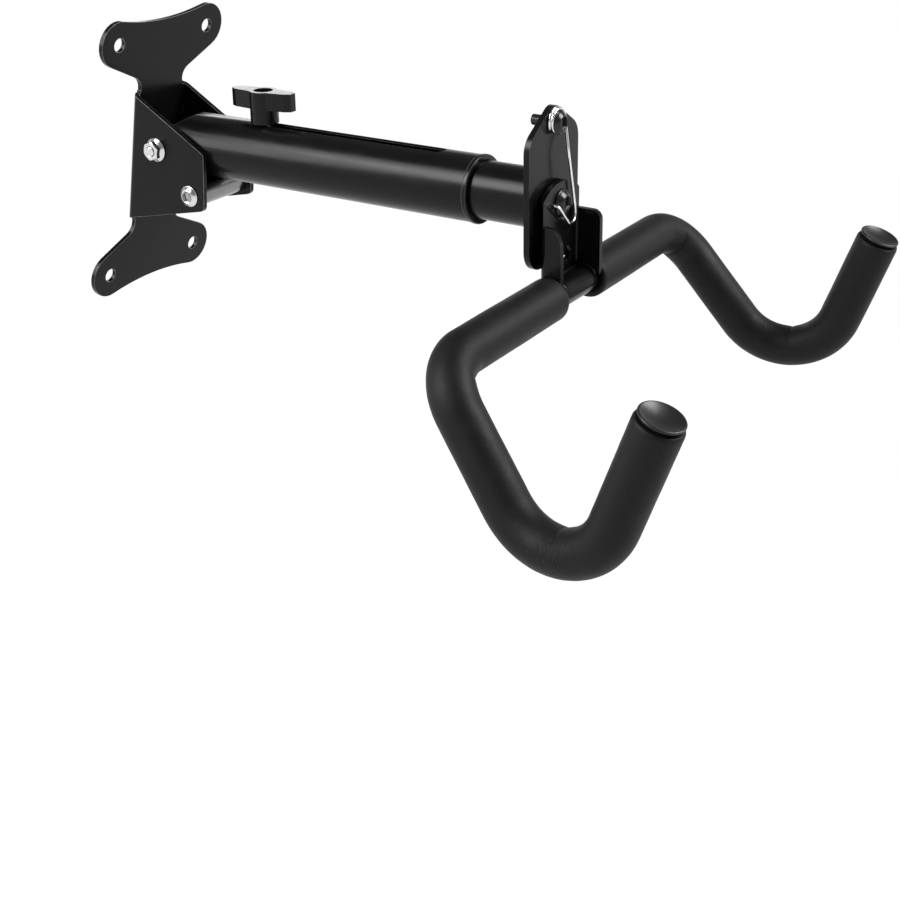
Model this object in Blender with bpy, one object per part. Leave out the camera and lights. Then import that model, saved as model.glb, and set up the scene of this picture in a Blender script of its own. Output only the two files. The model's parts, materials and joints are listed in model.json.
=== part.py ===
"""Folding wall bike rack: a wall bracket, a telescopic arm and a pair of padded hooks.

Frame: metres, +Z up. The wall is the plane y = 0, and the rack stands out from it along -Y.
X runs along the wall, and the rack is the same on both sides of x = 0 but for small fittings.
The arm leans up from the wall. Its pieces are drawn level, in the arm's own frame, where "out"
is the distance from the wall along the arm and "up" the height above the arm's axis.
"""
import math

import bmesh
import bpy
from mathutils import Matrix, Vector

MM = 0.001

# Clearances
SEAT_GAP = 0.3 * MM
RUNNING_GAP = 0.5 * MM
SLEEVE_GAP = 0.2 * MM

# Wall bracket, pressed from one sheet
SHEET = 2.8 * MM
BEND_RADIUS = 1.5 * MM
HOLE_SPACING_X = 76 * MM
HOLE_SPACING_Z = 150 * MM
PATTERN_HEIGHT = -9.2 * MM
WALL_HOLE_RADIUS = 4.3 * MM
LOBE_RADIUS = 14.2 * MM
EDGE_RISE = 10.2 * MM
WING_SLOPE = math.radians(26)
NECK_FILLET = 8 * MM
NECK_HALF_WIDTH = 18.2 * MM
FLANGE_GAP = 1.4 * MM
FLANGE_TOP = 33.5 * MM
FLANGE_BOTTOM = -51 * MM
NOSE_OUT_TOP = 58.3 * MM
NOSE_OUT_BOTTOM = 62 * MM
NOSE_TOP = 10.5 * MM
NOSE_BOTTOM = -24.6 * MM
NOSE_RADIUS_TOP = 1.5 * MM
NOSE_RADIUS_BOTTOM = 4 * MM

# Arm tubes
ARM_TILT = math.radians(10)
TUBE_RADIUS = 19 * MM
TUBE_WALL = 1.5 * MM
TUBE_START = 8 * MM
TUBE_END = 238.2 * MM
REAR_CUT_TOP = 38.5 * MM
REAR_CUT_ANGLE = math.radians(31)
SLEEVE_WALL = 0.7 * MM
INNER_WALL = 1.5 * MM
INNER_START = 62 * MM
COLLAR_LIP = 2.7 * MM
COLLAR_STEP = 0.5 * MM
COLLAR_DEPTH = 15 * MM
GLIDE_LENGTH = 14 * MM

# Pivot and rest of the arm
PIVOT_OUT = 22 * MM
PIVOT_DROP = 1 * MM
BUSH_RADIUS = 4.8 * MM
REST_OUT = 46 * MM
REST_RADIUS = 7.6 * MM

# Bolts and nuts of the bracket
BOLT_RADIUS = 3 * MM
NUT_FLATS = 10.4 * MM
NUT_HEIGHT = 5.2 * MM
NUT_FLANGE_RADIUS = 7.4 * MM
NUT_FLANGE_HEIGHT = 1.3 * MM
BOLT_STICKS_OUT = 0.6 * MM
REST_HEAD_RADIUS = 6.4 * MM
REST_HEAD_HEIGHT = 3.4 * MM

# Clamp knob
KNOB_OUT = 89 * MM
TRAVEL_IN = 5 * MM
TRAVEL_OUT = 123 * MM
STUD_RADIUS = 4 * MM
STUD_LENGTH = 21 * MM
BOSS_RADIUS = 8.5 * MM
KNOB_HEIGHT = 19.3 * MM
WING_HALF_LENGTH = 21.4 * MM
WING_HEIGHT = 10.6 * MM
WING_WAIST = 3.3 * MM
WING_SWELL = 4.4 * MM
WING_CHAMFER = 4 * MM
KNOB_RECESS_RADIUS = 5.4 * MM
KNOB_RECESS_DEPTH = 1 * MM
KNOB_REST_TURN = math.radians(2)
CLAMP_NUT_SIZE = 14 * MM
CLAMP_NUT_HEIGHT = 7 * MM

# Lock plate and its bolts
PLATE_BACK = 281.6 * MM
PLATE_THICKNESS = 3.4 * MM
PLATE_HALF_WIDTH = 26.6 * MM
PLATE_BOTTOM = -34.1 * MM
PLATE_SHOULDER_SLOPE = math.radians(32.5)
PLATE_TOP_RADIUS = 9 * MM
PLATE_CORNER = 12 * MM
CLIP_BOLT_UP = 43 * MM
CLIP_BOLT_LENGTH = 16 * MM
CLIP_STANDOFF = 3 * MM
CLIP_HEAD_RADIUS = 6.8 * MM
CLIP_HEAD_HEIGHT = 3.9 * MM
SWIVEL_UP = 0 * MM
SWIVEL_BOLT_RADIUS = 4 * MM
SWIVEL_HEAD_RADIUS = 7.3 * MM
SWIVEL_HEAD_HEIGHT = 4.2 * MM
SWIVEL_NUT_FLATS = 13 * MM
SWIVEL_NUT_HEIGHT = 6.5 * MM
WASHER_RADIUS = 7.2 * MM
WASHER_THICKNESS = 1.1 * MM
SOCKET_FLATS = 6.2 * MM
SOCKET_DEPTH = 2.2 * MM

# Spring wire clip
WIRE_RADIUS = 0.8 * MM
COIL_RADIUS = 7.2 * MM
COIL_GROWTH = 1.2 * MM
COIL_TURN = math.radians(290)
SPACER_RADIUS = 5.4 * MM
LEG_ACROSS = 7.4 * MM
LEG_BELOW_BOLT = 4.8 * MM
LEG_OVER_WEB = 1.5 * MM
HAIRPIN_ACROSS = 16.6 * MM
HAIRPIN_UP = -22.6 * MM
HAIRPIN_RADIUS = 5 * MM
CREST_HEIGHT = 3.7 * MM
CREST_RADIUS = 1.6 * MM
LATCH_ACROSS = -10 * MM
LATCH_UP = 0.1 * MM
LATCH_HOLE_RADIUS = 1.7 * MM

# Swivel bracket
CHANNEL_SHEET = 3 * MM
CHANNEL_HALF_WIDTH = 20 * MM
CHANNEL_TOP = 11.5 * MM
CHANNEL_CROWN_RADIUS = 30 * MM
CHANNEL_TOP_CORNER = 4 * MM
CHEEK_TOP_LEFT = -9 * MM
CHEEK_TOP_RIGHT = -7.2 * MM
CHEEK_DEPTH_LEFT = 10.8 * MM
CHEEK_DEPTH_RIGHT = 14.5 * MM
CHEEK_CORNER = 5 * MM
CHEEK_FOOT = 4.4 * MM
WEB_HOLE_RADIUS = 4.2 * MM
WEB_HOLE_ACROSS = 6.2 * MM
WEB_HOLE_UP = -30.4 * MM

# Hook bar, its foam and end caps
BAR_OUT = 294.4 * MM
BAR_DROP = 47.5 * MM
BAR_RADIUS = 8 * MM
BAR_WALL = 1.5 * MM
BAR_HALF_WIDTH = 130 * MM
LEG_LENGTH = 135 * MM
LEG_DROP = math.radians(51.9)
LEG_SPLAY = math.radians(7.6)
TIP_LENGTH_LEFT = 124.8 * MM
TIP_LENGTH_RIGHT = 121 * MM
TIP_RISE = math.radians(69.9)
SHOULDER_RADIUS = 28 * MM
CRADLE_RADIUS = 35.4 * MM
FOAM_RADIUS = 12.2 * MM
FOAM_START = 20.6 * MM
CAP_RADIUS = 11.8 * MM
CAP_THICKNESS = 3 * MM
CAP_RIM = 2 * MM
CAP_DISH = 1.7 * MM
CAP_PLUG_LENGTH = 9 * MM

# Facets
BEND_STEP = math.radians(11.5)
BAR_SIDES = 20
TUBE_SIDES = 48
ROUND_SIDES = 24
SMALL_SIDES = 16
LOOP_POINTS = 24

# Sizes that follow
FLANGE_INSIDE = TUBE_RADIUS + FLANGE_GAP
FLANGE_OUTSIDE = FLANGE_INSIDE + SHEET
HOLE_RADIUS = BOLT_RADIUS + SEAT_GAP
TUBE_BORE = TUBE_RADIUS - TUBE_WALL
INNER_RADIUS = TUBE_BORE - 2 * SLEEVE_GAP - SLEEVE_WALL
INNER_BORE = INNER_RADIUS - INNER_WALL
REST_DROP = TUBE_RADIUS + SEAT_GAP + REST_RADIUS
PLATE_FRONT = PLATE_BACK + PLATE_THICKNESS
WEB_BACK = PLATE_FRONT + 2 * SEAT_GAP + WASHER_THICKNESS
WEB_FRONT = WEB_BACK + CHANNEL_SHEET
BAR_BORE = BAR_RADIUS - BAR_WALL
FOAM_BORE = BAR_RADIUS + SEAT_GAP
TIP_LENGTHS = {-1: TIP_LENGTH_LEFT, 1: TIP_LENGTH_RIGHT}
SLOT_HALF_WIDTH = STUD_RADIUS + RUNNING_GAP
SLOT_BACK = KNOB_OUT - TRAVEL_IN - STUD_RADIUS - RUNNING_GAP
SLOT_FRONT = KNOB_OUT + TRAVEL_OUT + STUD_RADIUS + RUNNING_GAP
KNOB_SEAT = TUBE_RADIUS + SEAT_GAP
TINY = 0.000001
BEYOND = 400 * MM

ARM_FRAME = Matrix.Rotation(-ARM_TILT, 4, "X")
PLANES = {"xz": (0, 2, 1), "yz": (1, 2, 0), "xy": (0, 1, 2)}


def arm(across, out, up):
    """A place in the arm's own frame, where the arm lies level and points along -Y."""
    return Vector((across, -out, up))


def arc(centre, radius, start, end, count):
    """Points on an arc, from one angle to another in degrees, both ends included."""
    points = []
    for step in range(count + 1):
        angle = math.radians(start + (end - start) * step / count)
        points.append((centre[0] + radius * math.cos(angle), centre[1] + radius * math.sin(angle)))
    return points


def circle(centre, radius, count):
    """A closed round outline."""
    return arc(centre, radius, 0, 360, count)[:-1]


def rounded(corners, radii, count=4):
    """A closed outline of straight sides, each corner rounded by its own radius."""
    outline = []
    for index, corner in enumerate(corners):
        here = Vector(corner)
        before = (Vector(corners[index - 1]) - here).normalized()
        after = (Vector(corners[(index + 1) % len(corners)]) - here).normalized()
        half = before.angle(after) / 2
        middle = here + (before + after).normalized() * radii[index] / math.sin(half)
        first = here + before * radii[index] / math.tan(half) - middle
        last = here + after * radii[index] / math.tan(half) - middle
        for step in range(count + 1):
            turned = first.lerp(last, step / count).normalized() * radii[index]
            outline.append(tuple(middle + turned))
    return outline


def prism(outline, low, high, plane):
    """A closed outline in one plane, drawn out from low to high along the third axis."""
    first, second, depth = PLANES[plane]
    bm = bmesh.new()
    corners = []
    for pair in outline:
        point = Vector((0, 0, 0))
        point[first], point[second] = pair
        point[depth] = low
        corners.append(bm.verts.new(point))
    face = bm.faces.new(corners)
    drawn = bmesh.ops.extrude_face_region(bm, geom=[face])
    moved = [item for item in drawn["geom"] if isinstance(item, bmesh.types.BMVert)]
    shift = Vector((0, 0, 0))
    shift[depth] = high - low
    bmesh.ops.translate(bm, verts=moved, vec=shift)
    bmesh.ops.recalc_face_normals(bm, faces=bm.faces)
    return bm


def lathe(profile, sides, is_ring=False):
    """A profile of (radius, height) pairs, turned about +Z."""
    bm = bmesh.new()
    verts = [bm.verts.new((radius, 0, height)) for radius, height in profile]
    edges = [bm.edges.new(pair) for pair in zip(verts, verts[1:])]
    if is_ring:
        edges.append(bm.edges.new((verts[-1], verts[0])))
    bmesh.ops.spin(bm, geom=verts + edges, axis=(0, 0, 1), angle=math.tau, steps=sides, use_merge=True)
    bmesh.ops.remove_doubles(bm, verts=bm.verts, dist=TINY)
    bmesh.ops.recalc_face_normals(bm, faces=bm.faces)
    return bm


def moved(bm, matrix):
    """The same mesh, put elsewhere."""
    bm.transform(matrix)
    return bm


def facing(direction, place):
    """The matrix that takes +Z to a direction, and the origin to a place."""
    turn = Vector((0, 0, 1)).rotation_difference(Vector(direction))
    return Matrix.Translation(place) @ turn.to_matrix().to_4x4()


def scratch(bm):
    """A passing object that holds a mesh while a Boolean reads it."""
    mesh = bpy.data.meshes.new("scratch")
    bm.to_mesh(mesh)
    bm.free()
    holder = bpy.data.objects.new("scratch", mesh)
    bpy.context.scene.collection.objects.link(holder)
    return holder


def combined(base, tool, operation):
    """One mesh out of two: DIFFERENCE, UNION or INTERSECT."""
    base_holder = scratch(base)
    tool_holder = scratch(tool)
    modifier = base_holder.modifiers.new("combine", "BOOLEAN")
    modifier.operation = operation
    modifier.solver = "EXACT"
    modifier.object = tool_holder
    evaluated = base_holder.evaluated_get(bpy.context.evaluated_depsgraph_get())
    mesh = bpy.data.meshes.new_from_object(evaluated)
    result = bmesh.new()
    result.from_mesh(mesh)
    for holder in (base_holder, tool_holder):
        old = holder.data
        bpy.data.objects.remove(holder)
        bpy.data.meshes.remove(old)
    bpy.data.meshes.remove(mesh)
    bmesh.ops.remove_doubles(result, verts=result.verts, dist=TINY)
    return result


def cut(base, tool):
    """The base with the tool's shape taken away."""
    return combined(base, tool, "DIFFERENCE")


def joined(base, tool):
    """Two pieces as one body."""
    return combined(base, tool, "UNION")


def kept(base, tool):
    """Only what lies inside both."""
    return combined(base, tool, "INTERSECT")


def material(name, colour, metallic, roughness):
    """A material with a Principled shader."""
    made = bpy.data.materials.new(name)
    made.use_nodes = True
    shader = made.node_tree.nodes["Principled BSDF"]
    shader.inputs["Base Color"].default_value = (*colour, 1)
    shader.inputs["Metallic"].default_value = metallic
    shader.inputs["Roughness"].default_value = roughness
    made.diffuse_color = (*colour, 1)
    return made


def body_frame(name, place, frame):
    """An empty on a joint's axis, which carries the pieces that move with that joint."""
    empty = bpy.data.objects.new(name, None)
    bpy.context.scene.collection.objects.link(empty)
    empty.matrix_world = frame @ Matrix.Translation(place)
    empty.empty_display_size = 20 * MM
    return {"empty": empty, "place": Vector(place)}


def piece(name, bm, look, body):
    """A finished sub-part: its mesh measured from its body's joint, with its material."""
    bmesh.ops.translate(bm, verts=bm.verts, vec=-body["place"])
    bmesh.ops.recalc_face_normals(bm, faces=bm.faces)
    mesh = bpy.data.meshes.new(name)
    bm.to_mesh(mesh)
    bm.free()
    mesh.shade_smooth()
    mesh.set_sharp_from_angle(angle=math.radians(30))
    made = bpy.data.objects.new(name, mesh)
    made.data.materials.append(LOOKS[look])
    made.parent = body["empty"]
    bpy.context.scene.collection.objects.link(made)
    return made


def ring_profile(inner, outer, low, high):
    """The section of a plain ring or tube."""
    return [(inner, low), (outer, low), (outer, high), (inner, high)]


def along_x(bm, place):
    """Lays a piece that was turned about +Z along +X."""
    return moved(bm, facing((1, 0, 0), place))


def along_arm(bm, place):
    """Lays a piece that was turned about +Z along the arm, away from the wall."""
    return moved(bm, facing((0, -1, 0), place))


def hexagon(flats):
    """A hexagon's outline by its width across flats."""
    return circle((0, 0), flats / 2 / math.cos(math.pi / 6), 6)


def wing_outline():
    """The upper right quarter of the butterfly plate, from the middle of its top edge to the neck."""
    lobe = (HOLE_SPACING_X / 2, HOLE_SPACING_Z / 2)
    slack = 2 * (LOBE_RADIUS - EDGE_RISE)
    edge_radius = (lobe[0] ** 2 + EDGE_RISE ** 2 - LOBE_RADIUS ** 2) / slack
    edge_centre = (0, lobe[1] + EDGE_RISE + edge_radius)
    lean = math.degrees(math.atan2(lobe[0], edge_centre[1] - lobe[1]))
    slope = math.degrees(WING_SLOPE)
    points = arc(edge_centre, edge_radius, -90, -90 + lean, 6)
    points += arc(lobe, LOBE_RADIUS, 90 + lean, -90 + slope, 14)[1:]
    touch = points[-1]
    reach = (NECK_HALF_WIDTH + NECK_FILLET - touch[0]) * math.sin(WING_SLOPE) - NECK_FILLET
    fillet = (NECK_HALF_WIDTH + NECK_FILLET, touch[1] + reach / math.cos(WING_SLOPE))
    points += arc(fillet, NECK_FILLET, 90 + slope, 180, 5)
    return points


def plate_outline():
    """The whole butterfly. Between its two necks it's as wide as the bends leave it flat."""
    quarter = wing_outline()
    flat = FLANGE_INSIDE - BEND_RADIUS
    upper = [(x, PATTERN_HEIGHT + z) for x, z in quarter]
    lower = [(x, PATTERN_HEIGHT - z) for x, z in reversed(quarter)]
    right = upper + bend_start(flat, FLANGE_TOP + SEAT_GAP)
    right += bend_start(flat, FLANGE_BOTTOM - SEAT_GAP)[::-1] + lower
    left = [(-x, z) for x, z in reversed(right)]
    return right + left[1:-1]


def bend_start(flat, height):
    """The small step from the neck's edge to the start of a bend."""
    return [(NECK_HALF_WIDTH, height), (flat, height)]


def flange_section(side):
    """The bend and the flange of one side, seen from above."""
    outer = BEND_RADIUS + SHEET
    centre = (FLANGE_INSIDE - BEND_RADIUS, -outer)
    reach = -BEND_RADIUS - NOSE_OUT_BOTTOM
    points = [(centre[0] - SHEET, -SHEET), (centre[0] - SHEET, 0)]
    points += arc(centre, outer, 90, 0, 5)
    points += [(FLANGE_OUTSIDE, reach), (FLANGE_INSIDE, reach)]
    points += arc(centre, BEND_RADIUS, 0, 90, 4)
    return [(side * x, y) for x, y in points]


def flange_side():
    """The flange's outline, seen from the side."""
    corners = [(SHEET, FLANGE_TOP), (-NOSE_OUT_TOP, NOSE_TOP)]
    corners += [(-NOSE_OUT_BOTTOM, NOSE_BOTTOM), (SHEET, FLANGE_BOTTOM)]
    radii = [TINY, NOSE_RADIUS_TOP, NOSE_RADIUS_BOTTOM, TINY]
    return rounded(corners, radii)


def bracket_bolt_places():
    """Where the pivot bolt and the rest bolt cross the middle, in the row's frame."""
    pivot = ARM_FRAME @ arm(0, PIVOT_OUT, -PIVOT_DROP)
    rest = ARM_FRAME @ arm(0, REST_OUT, -REST_DROP)
    return pivot, rest


def wall_bracket():
    """Butterfly plate, two bent flanges, four wall holes and the two bolt holes."""
    bracket = prism(plate_outline(), -SHEET, 0, "xz")
    for side in (-1, 1):
        flange = prism(flange_section(side), -BEYOND, BEYOND, "xy")
        flange = kept(flange, prism(flange_side(), -BEYOND, BEYOND, "yz"))
        bracket = joined(bracket, flange)
    for x in (-HOLE_SPACING_X / 2, HOLE_SPACING_X / 2):
        for z in (-HOLE_SPACING_Z / 2, HOLE_SPACING_Z / 2):
            hole = circle((x, PATTERN_HEIGHT + z), WALL_HOLE_RADIUS, ROUND_SIDES)
            bracket = cut(bracket, prism(hole, -2 * SHEET, SHEET, "xz"))
    for place in bracket_bolt_places():
        hole = circle((place.y, place.z), HOLE_RADIUS, SMALL_SIDES)
        bracket = cut(bracket, prism(hole, -BEYOND, BEYOND, "yz"))
    return bracket


def flange_nut(bore):
    """A hexagon nut on its own washer face, from height 0 upwards. No bore makes a bolt's head."""
    across = NUT_FLATS / math.sqrt(3)
    foot = [(0, 0), (NUT_FLANGE_RADIUS, 0), (NUT_FLANGE_RADIUS, NUT_FLANGE_HEIGHT / 2)]
    foot += [(NUT_FLATS / 2, 2 * NUT_FLANGE_HEIGHT), (0, 2 * NUT_FLANGE_HEIGHT)]
    nut = prism(hexagon(NUT_FLATS), 0, NUT_HEIGHT, "xy")
    chamfer = (2 * across - NUT_FLATS / 2) / 2
    crown = [(0, -TINY), (2 * across, -TINY), (2 * across, NUT_HEIGHT - chamfer)]
    crown += [(NUT_FLATS / 2, NUT_HEIGHT), (0, NUT_HEIGHT)]
    nut = kept(nut, lathe(crown, ROUND_SIDES))
    nut = joined(nut, lathe(foot, ROUND_SIDES))
    if bore:
        nut = cut(nut, prism(circle((0, 0), bore, SMALL_SIDES), -NUT_HEIGHT, 2 * NUT_HEIGHT, "xy"))
    return nut


def pivot_bolt(place):
    """A hexagon flange bolt across the bracket, its head on the +X side."""
    seat = FLANGE_OUTSIDE + SEAT_GAP
    end = -seat - NUT_HEIGHT - BOLT_STICKS_OUT
    shank = [(0, end), (BOLT_RADIUS - BOLT_STICKS_OUT / 2, end), (BOLT_RADIUS, end + BOLT_STICKS_OUT / 2)]
    shank += [(BOLT_RADIUS, seat + NUT_FLANGE_HEIGHT), (0, seat + NUT_FLANGE_HEIGHT)]
    head = moved(flange_nut(0), Matrix.Translation((0, 0, seat)))
    return along_x(joined(head, lathe(shank, SMALL_SIDES)), place)


def rest_bolt(place):
    """A button-head bolt across the bracket, its head on the -X side."""
    seat = FLANGE_OUTSIDE + SEAT_GAP
    length = 2 * seat + NUT_HEIGHT + BOLT_STICKS_OUT
    bolt = button_bolt(BOLT_RADIUS, length, REST_HEAD_RADIUS, REST_HEAD_HEIGHT)
    return moved(bolt, facing((-1, 0, 0), place) @ Matrix.Translation((0, 0, seat)))


def bracket_nut(place, side):
    """A nut on one side of the bracket, -1 for the left and 1 for the right."""
    nut = moved(flange_nut(HOLE_RADIUS), Matrix.Translation((0, 0, FLANGE_OUTSIDE + SEAT_GAP)))
    return moved(nut, facing((side, 0, 0), place))


def cross_sleeve(radius):
    """A sleeve round a bracket bolt, as long as the bracket is wide inside."""
    half = FLANGE_INSIDE - SEAT_GAP
    return lathe(ring_profile(HOLE_RADIUS, radius, -half, half), ROUND_SIDES, is_ring=True)


def rear_cut():
    """What is cut off the outer tube's upper rear edge, so that the arm can fold up at the wall."""
    drop = 2 * TUBE_RADIUS
    run = drop / math.tan(REAR_CUT_ANGLE)
    top = (-REAR_CUT_TOP, TUBE_RADIUS)
    low = (-REAR_CUT_TOP + run, TUBE_RADIUS - drop)
    high = (-REAR_CUT_TOP - run / 2, TUBE_RADIUS + drop / 2)
    return prism([top, low, (low[0], high[1]), high], -BEYOND, BEYOND, "yz")


def slot_outline():
    """The long slot in the tube's crown that the knob's stud runs in."""
    rear = -(SLOT_BACK + SLOT_HALF_WIDTH)
    front = -(SLOT_FRONT - SLOT_HALF_WIDTH)
    return arc((0, rear), SLOT_HALF_WIDTH, 0, 180, 8) + arc((0, front), SLOT_HALF_WIDTH, 180, 360, 8)


def outer_tube():
    """The arm's outer tube, with its rear cut, its cross holes and its slot."""
    section = ring_profile(TUBE_BORE, TUBE_RADIUS, TUBE_START, TUBE_END)
    tube = along_arm(lathe(section, TUBE_SIDES, is_ring=True), arm(0, 0, 0))
    tube = cut(tube, rear_cut())
    hole = circle((-PIVOT_OUT, -PIVOT_DROP), BUSH_RADIUS + SEAT_GAP, ROUND_SIDES)
    tube = cut(tube, prism(hole, -BEYOND, BEYOND, "yz"))
    return cut(tube, prism(slot_outline(), 0, BEYOND, "xy"))


def tube_collar():
    """The plastic bush in the outer tube's mouth: a lip over the tube's end and a sleeve inside it."""
    lip = TUBE_END + SEAT_GAP
    inner = INNER_RADIUS + SLEEVE_GAP
    sleeve = TUBE_BORE - SLEEVE_GAP
    outer = TUBE_RADIUS + COLLAR_STEP
    section = [(inner, lip - COLLAR_DEPTH), (sleeve, lip - COLLAR_DEPTH), (sleeve, lip), (outer, lip)]
    section += [(outer, lip + COLLAR_LIP - COLLAR_STEP), (outer - COLLAR_STEP, lip + COLLAR_LIP)]
    section += [(inner, lip + COLLAR_LIP)]
    return along_arm(lathe(section, TUBE_SIDES, is_ring=True), arm(0, 0, 0))


def inner_tube():
    """The sliding tube, with the hole that the knob's stud passes."""
    section = ring_profile(INNER_BORE, INNER_RADIUS, INNER_START, PLATE_BACK - SEAT_GAP)
    tube = along_arm(lathe(section, TUBE_SIDES, is_ring=True), arm(0, 0, 0))
    hole = circle((0, -KNOB_OUT), STUD_RADIUS + SEAT_GAP, ROUND_SIDES)
    return cut(tube, prism(hole, 0, BEYOND, "xy"))


def rear_glide():
    """The plastic ring on the inner tube's rear end."""
    start = INNER_START + SEAT_GAP
    section = ring_profile(INNER_RADIUS + SLEEVE_GAP, TUBE_BORE - SLEEVE_GAP, start, start + GLIDE_LENGTH)
    return along_arm(lathe(section, TUBE_SIDES, is_ring=True), arm(0, 0, 0))


def clamp_nut_top():
    """How high the clamp nut reaches inside the inner tube."""
    return math.sqrt(INNER_BORE ** 2 - (CLAMP_NUT_SIZE / 2) ** 2) - SEAT_GAP


def clamp_nut():
    """The square nut inside the inner tube, which the knob's stud screws into."""
    half = CLAMP_NUT_SIZE / 2
    rear = half - KNOB_OUT
    front = -half - KNOB_OUT
    square = [(-half, front), (half, front), (half, rear), (-half, rear)]
    top = clamp_nut_top()
    block = prism(square, top - CLAMP_NUT_HEIGHT, top, "xy")
    hole = circle((0, -KNOB_OUT), STUD_RADIUS + SEAT_GAP, ROUND_SIDES)
    return cut(block, prism(hole, -BEYOND, BEYOND, "xy"))


def wing_section():
    """The knob's two wings, seen from above: a narrow waist, fuller ends and a bevelled edge."""
    full = WING_HALF_LENGTH - WING_CHAMFER
    tip = WING_SWELL - WING_CHAMFER / 2
    quarter = [(WING_WAIST, BOSS_RADIUS / 2), (WING_SWELL, full), (tip, WING_HALF_LENGTH)]
    right = [(x, -y) for x, y in reversed(quarter)] + quarter
    return right + [(-x, -y) for x, y in right]


def knob():
    """The T-shaped clamp knob on its round boss."""
    boss = lathe([(0, 0), (BOSS_RADIUS, 0), (BOSS_RADIUS, KNOB_HEIGHT), (0, KNOB_HEIGHT)], ROUND_SIDES)
    wings = prism(wing_section(), KNOB_HEIGHT - WING_HEIGHT, KNOB_HEIGHT, "xy")
    handle = joined(boss, wings)
    recess = circle((0, 0), KNOB_RECESS_RADIUS, ROUND_SIDES)
    handle = cut(handle, prism(recess, KNOB_HEIGHT - KNOB_RECESS_DEPTH, BEYOND, "xy"))
    bore = circle((0, 0), STUD_RADIUS + SEAT_GAP, ROUND_SIDES)
    depth = STUD_LENGTH - (KNOB_SEAT - clamp_nut_top() + CLAMP_NUT_HEIGHT) + SEAT_GAP
    handle = cut(handle, prism(bore, -KNOB_HEIGHT, depth, "xy"))
    handle = moved(handle, Matrix.Rotation(KNOB_REST_TURN, 4, "Z"))
    return moved(handle, Matrix.Translation(arm(0, KNOB_OUT, KNOB_SEAT)))


def knob_stud():
    """The stud moulded into the knob, reaching through the slot into the clamp nut."""
    foot = clamp_nut_top() - CLAMP_NUT_HEIGHT
    point = STUD_RADIUS / 4
    profile = [(0, foot), (STUD_RADIUS - point, foot), (STUD_RADIUS, foot + point)]
    profile += [(STUD_RADIUS, foot + STUD_LENGTH), (0, foot + STUD_LENGTH)]
    return moved(lathe(profile, ROUND_SIDES), Matrix.Translation(arm(0, KNOB_OUT, 0)))


def latch_hole(low, high):
    """The small hole that takes the wire clip's tip."""
    hole = circle((LATCH_ACROSS, LATCH_UP), LATCH_HOLE_RADIUS, SMALL_SIDES)
    return prism(hole, -high, -low, "xz")


def lock_plate_outline():
    """The upright plate on the arm's end: round top, sloping shoulders and rounded foot."""
    apex = CLIP_BOLT_UP + PLATE_TOP_RADIUS / math.cos(PLATE_SHOULDER_SLOPE)
    shoulder = apex - PLATE_HALF_WIDTH * math.tan(PLATE_SHOULDER_SLOPE)
    corners = [(PLATE_HALF_WIDTH, PLATE_BOTTOM), (PLATE_HALF_WIDTH, shoulder), (0, apex)]
    corners += [(-PLATE_HALF_WIDTH, shoulder), (-PLATE_HALF_WIDTH, PLATE_BOTTOM)]
    radii = [PLATE_CORNER, PLATE_CORNER, PLATE_TOP_RADIUS, PLATE_CORNER, PLATE_CORNER]
    return rounded(corners, radii, count=7)


def lock_plate():
    """The lock plate with its two bolt holes and the latch hole."""
    plate = prism(lock_plate_outline(), -PLATE_FRONT, -PLATE_BACK, "xz")
    low = PLATE_BACK - SHEET
    high = PLATE_FRONT + SHEET
    for up, radius in ((CLIP_BOLT_UP, HOLE_RADIUS), (SWIVEL_UP, SWIVEL_BOLT_RADIUS + SEAT_GAP)):
        hole = circle((0, up), radius, ROUND_SIDES)
        plate = cut(plate, prism(hole, -high, -low, "xz"))
    return cut(plate, latch_hole(low, high))


def button_bolt(radius, length, head_radius, head_height):
    """A button-head bolt with a hexagon socket: shank below height 0, head above it."""
    point = radius / 5
    profile = [(0, -length), (radius - point, -length), (radius, point - length)]
    profile += [(radius, 0), (head_radius, 0)]
    bulge = (head_radius ** 2 - head_height ** 2) / (2 * head_height)
    crown = bulge + head_height
    lean = math.degrees(math.atan2(head_radius, bulge))
    profile += arc((0, -bulge), crown, 90 - lean, 90, 5)[1:-1] + [(0, head_height)]
    bolt = lathe(profile, ROUND_SIDES)
    return cut(bolt, prism(hexagon(SOCKET_FLATS), head_height - SOCKET_DEPTH, BEYOND, "xy"))


def swivel_head_seat():
    """Where the swivel bolt's head sits, in front of the swivel bracket's web."""
    return WEB_FRONT + SEAT_GAP


def clip_head_seat():
    """Where the clip bolt's head sits, over the spacer that the wire turns round."""
    return PLATE_FRONT + CLIP_STANDOFF


def swivel_bolt():
    """The bolt that the hooks swivel on."""
    length = swivel_head_seat() - PLATE_BACK + 2 * SEAT_GAP + SWIVEL_NUT_HEIGHT
    bolt = button_bolt(SWIVEL_BOLT_RADIUS, length, SWIVEL_HEAD_RADIUS, SWIVEL_HEAD_HEIGHT)
    return along_arm(bolt, arm(0, swivel_head_seat(), SWIVEL_UP))


def swivel_washer():
    """The washer between the lock plate and the swivel bracket."""
    low = PLATE_FRONT + SEAT_GAP
    washer = ring_profile(SWIVEL_BOLT_RADIUS + SEAT_GAP, WASHER_RADIUS, low, low + WASHER_THICKNESS)
    return along_arm(lathe(washer, ROUND_SIDES, is_ring=True), arm(0, 0, SWIVEL_UP))


def swivel_nut():
    """Its nut, inside the inner tube."""
    block = prism(hexagon(SWIVEL_NUT_FLATS), 0, SWIVEL_NUT_HEIGHT, "xy")
    bore = circle((0, 0), SWIVEL_BOLT_RADIUS + SEAT_GAP, SMALL_SIDES)
    nut = cut(block, prism(bore, -SWIVEL_NUT_HEIGHT, 2 * SWIVEL_NUT_HEIGHT, "xy"))
    return moved(nut, facing((0, 1, 0), arm(0, PLATE_BACK - SEAT_GAP, SWIVEL_UP)))


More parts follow.
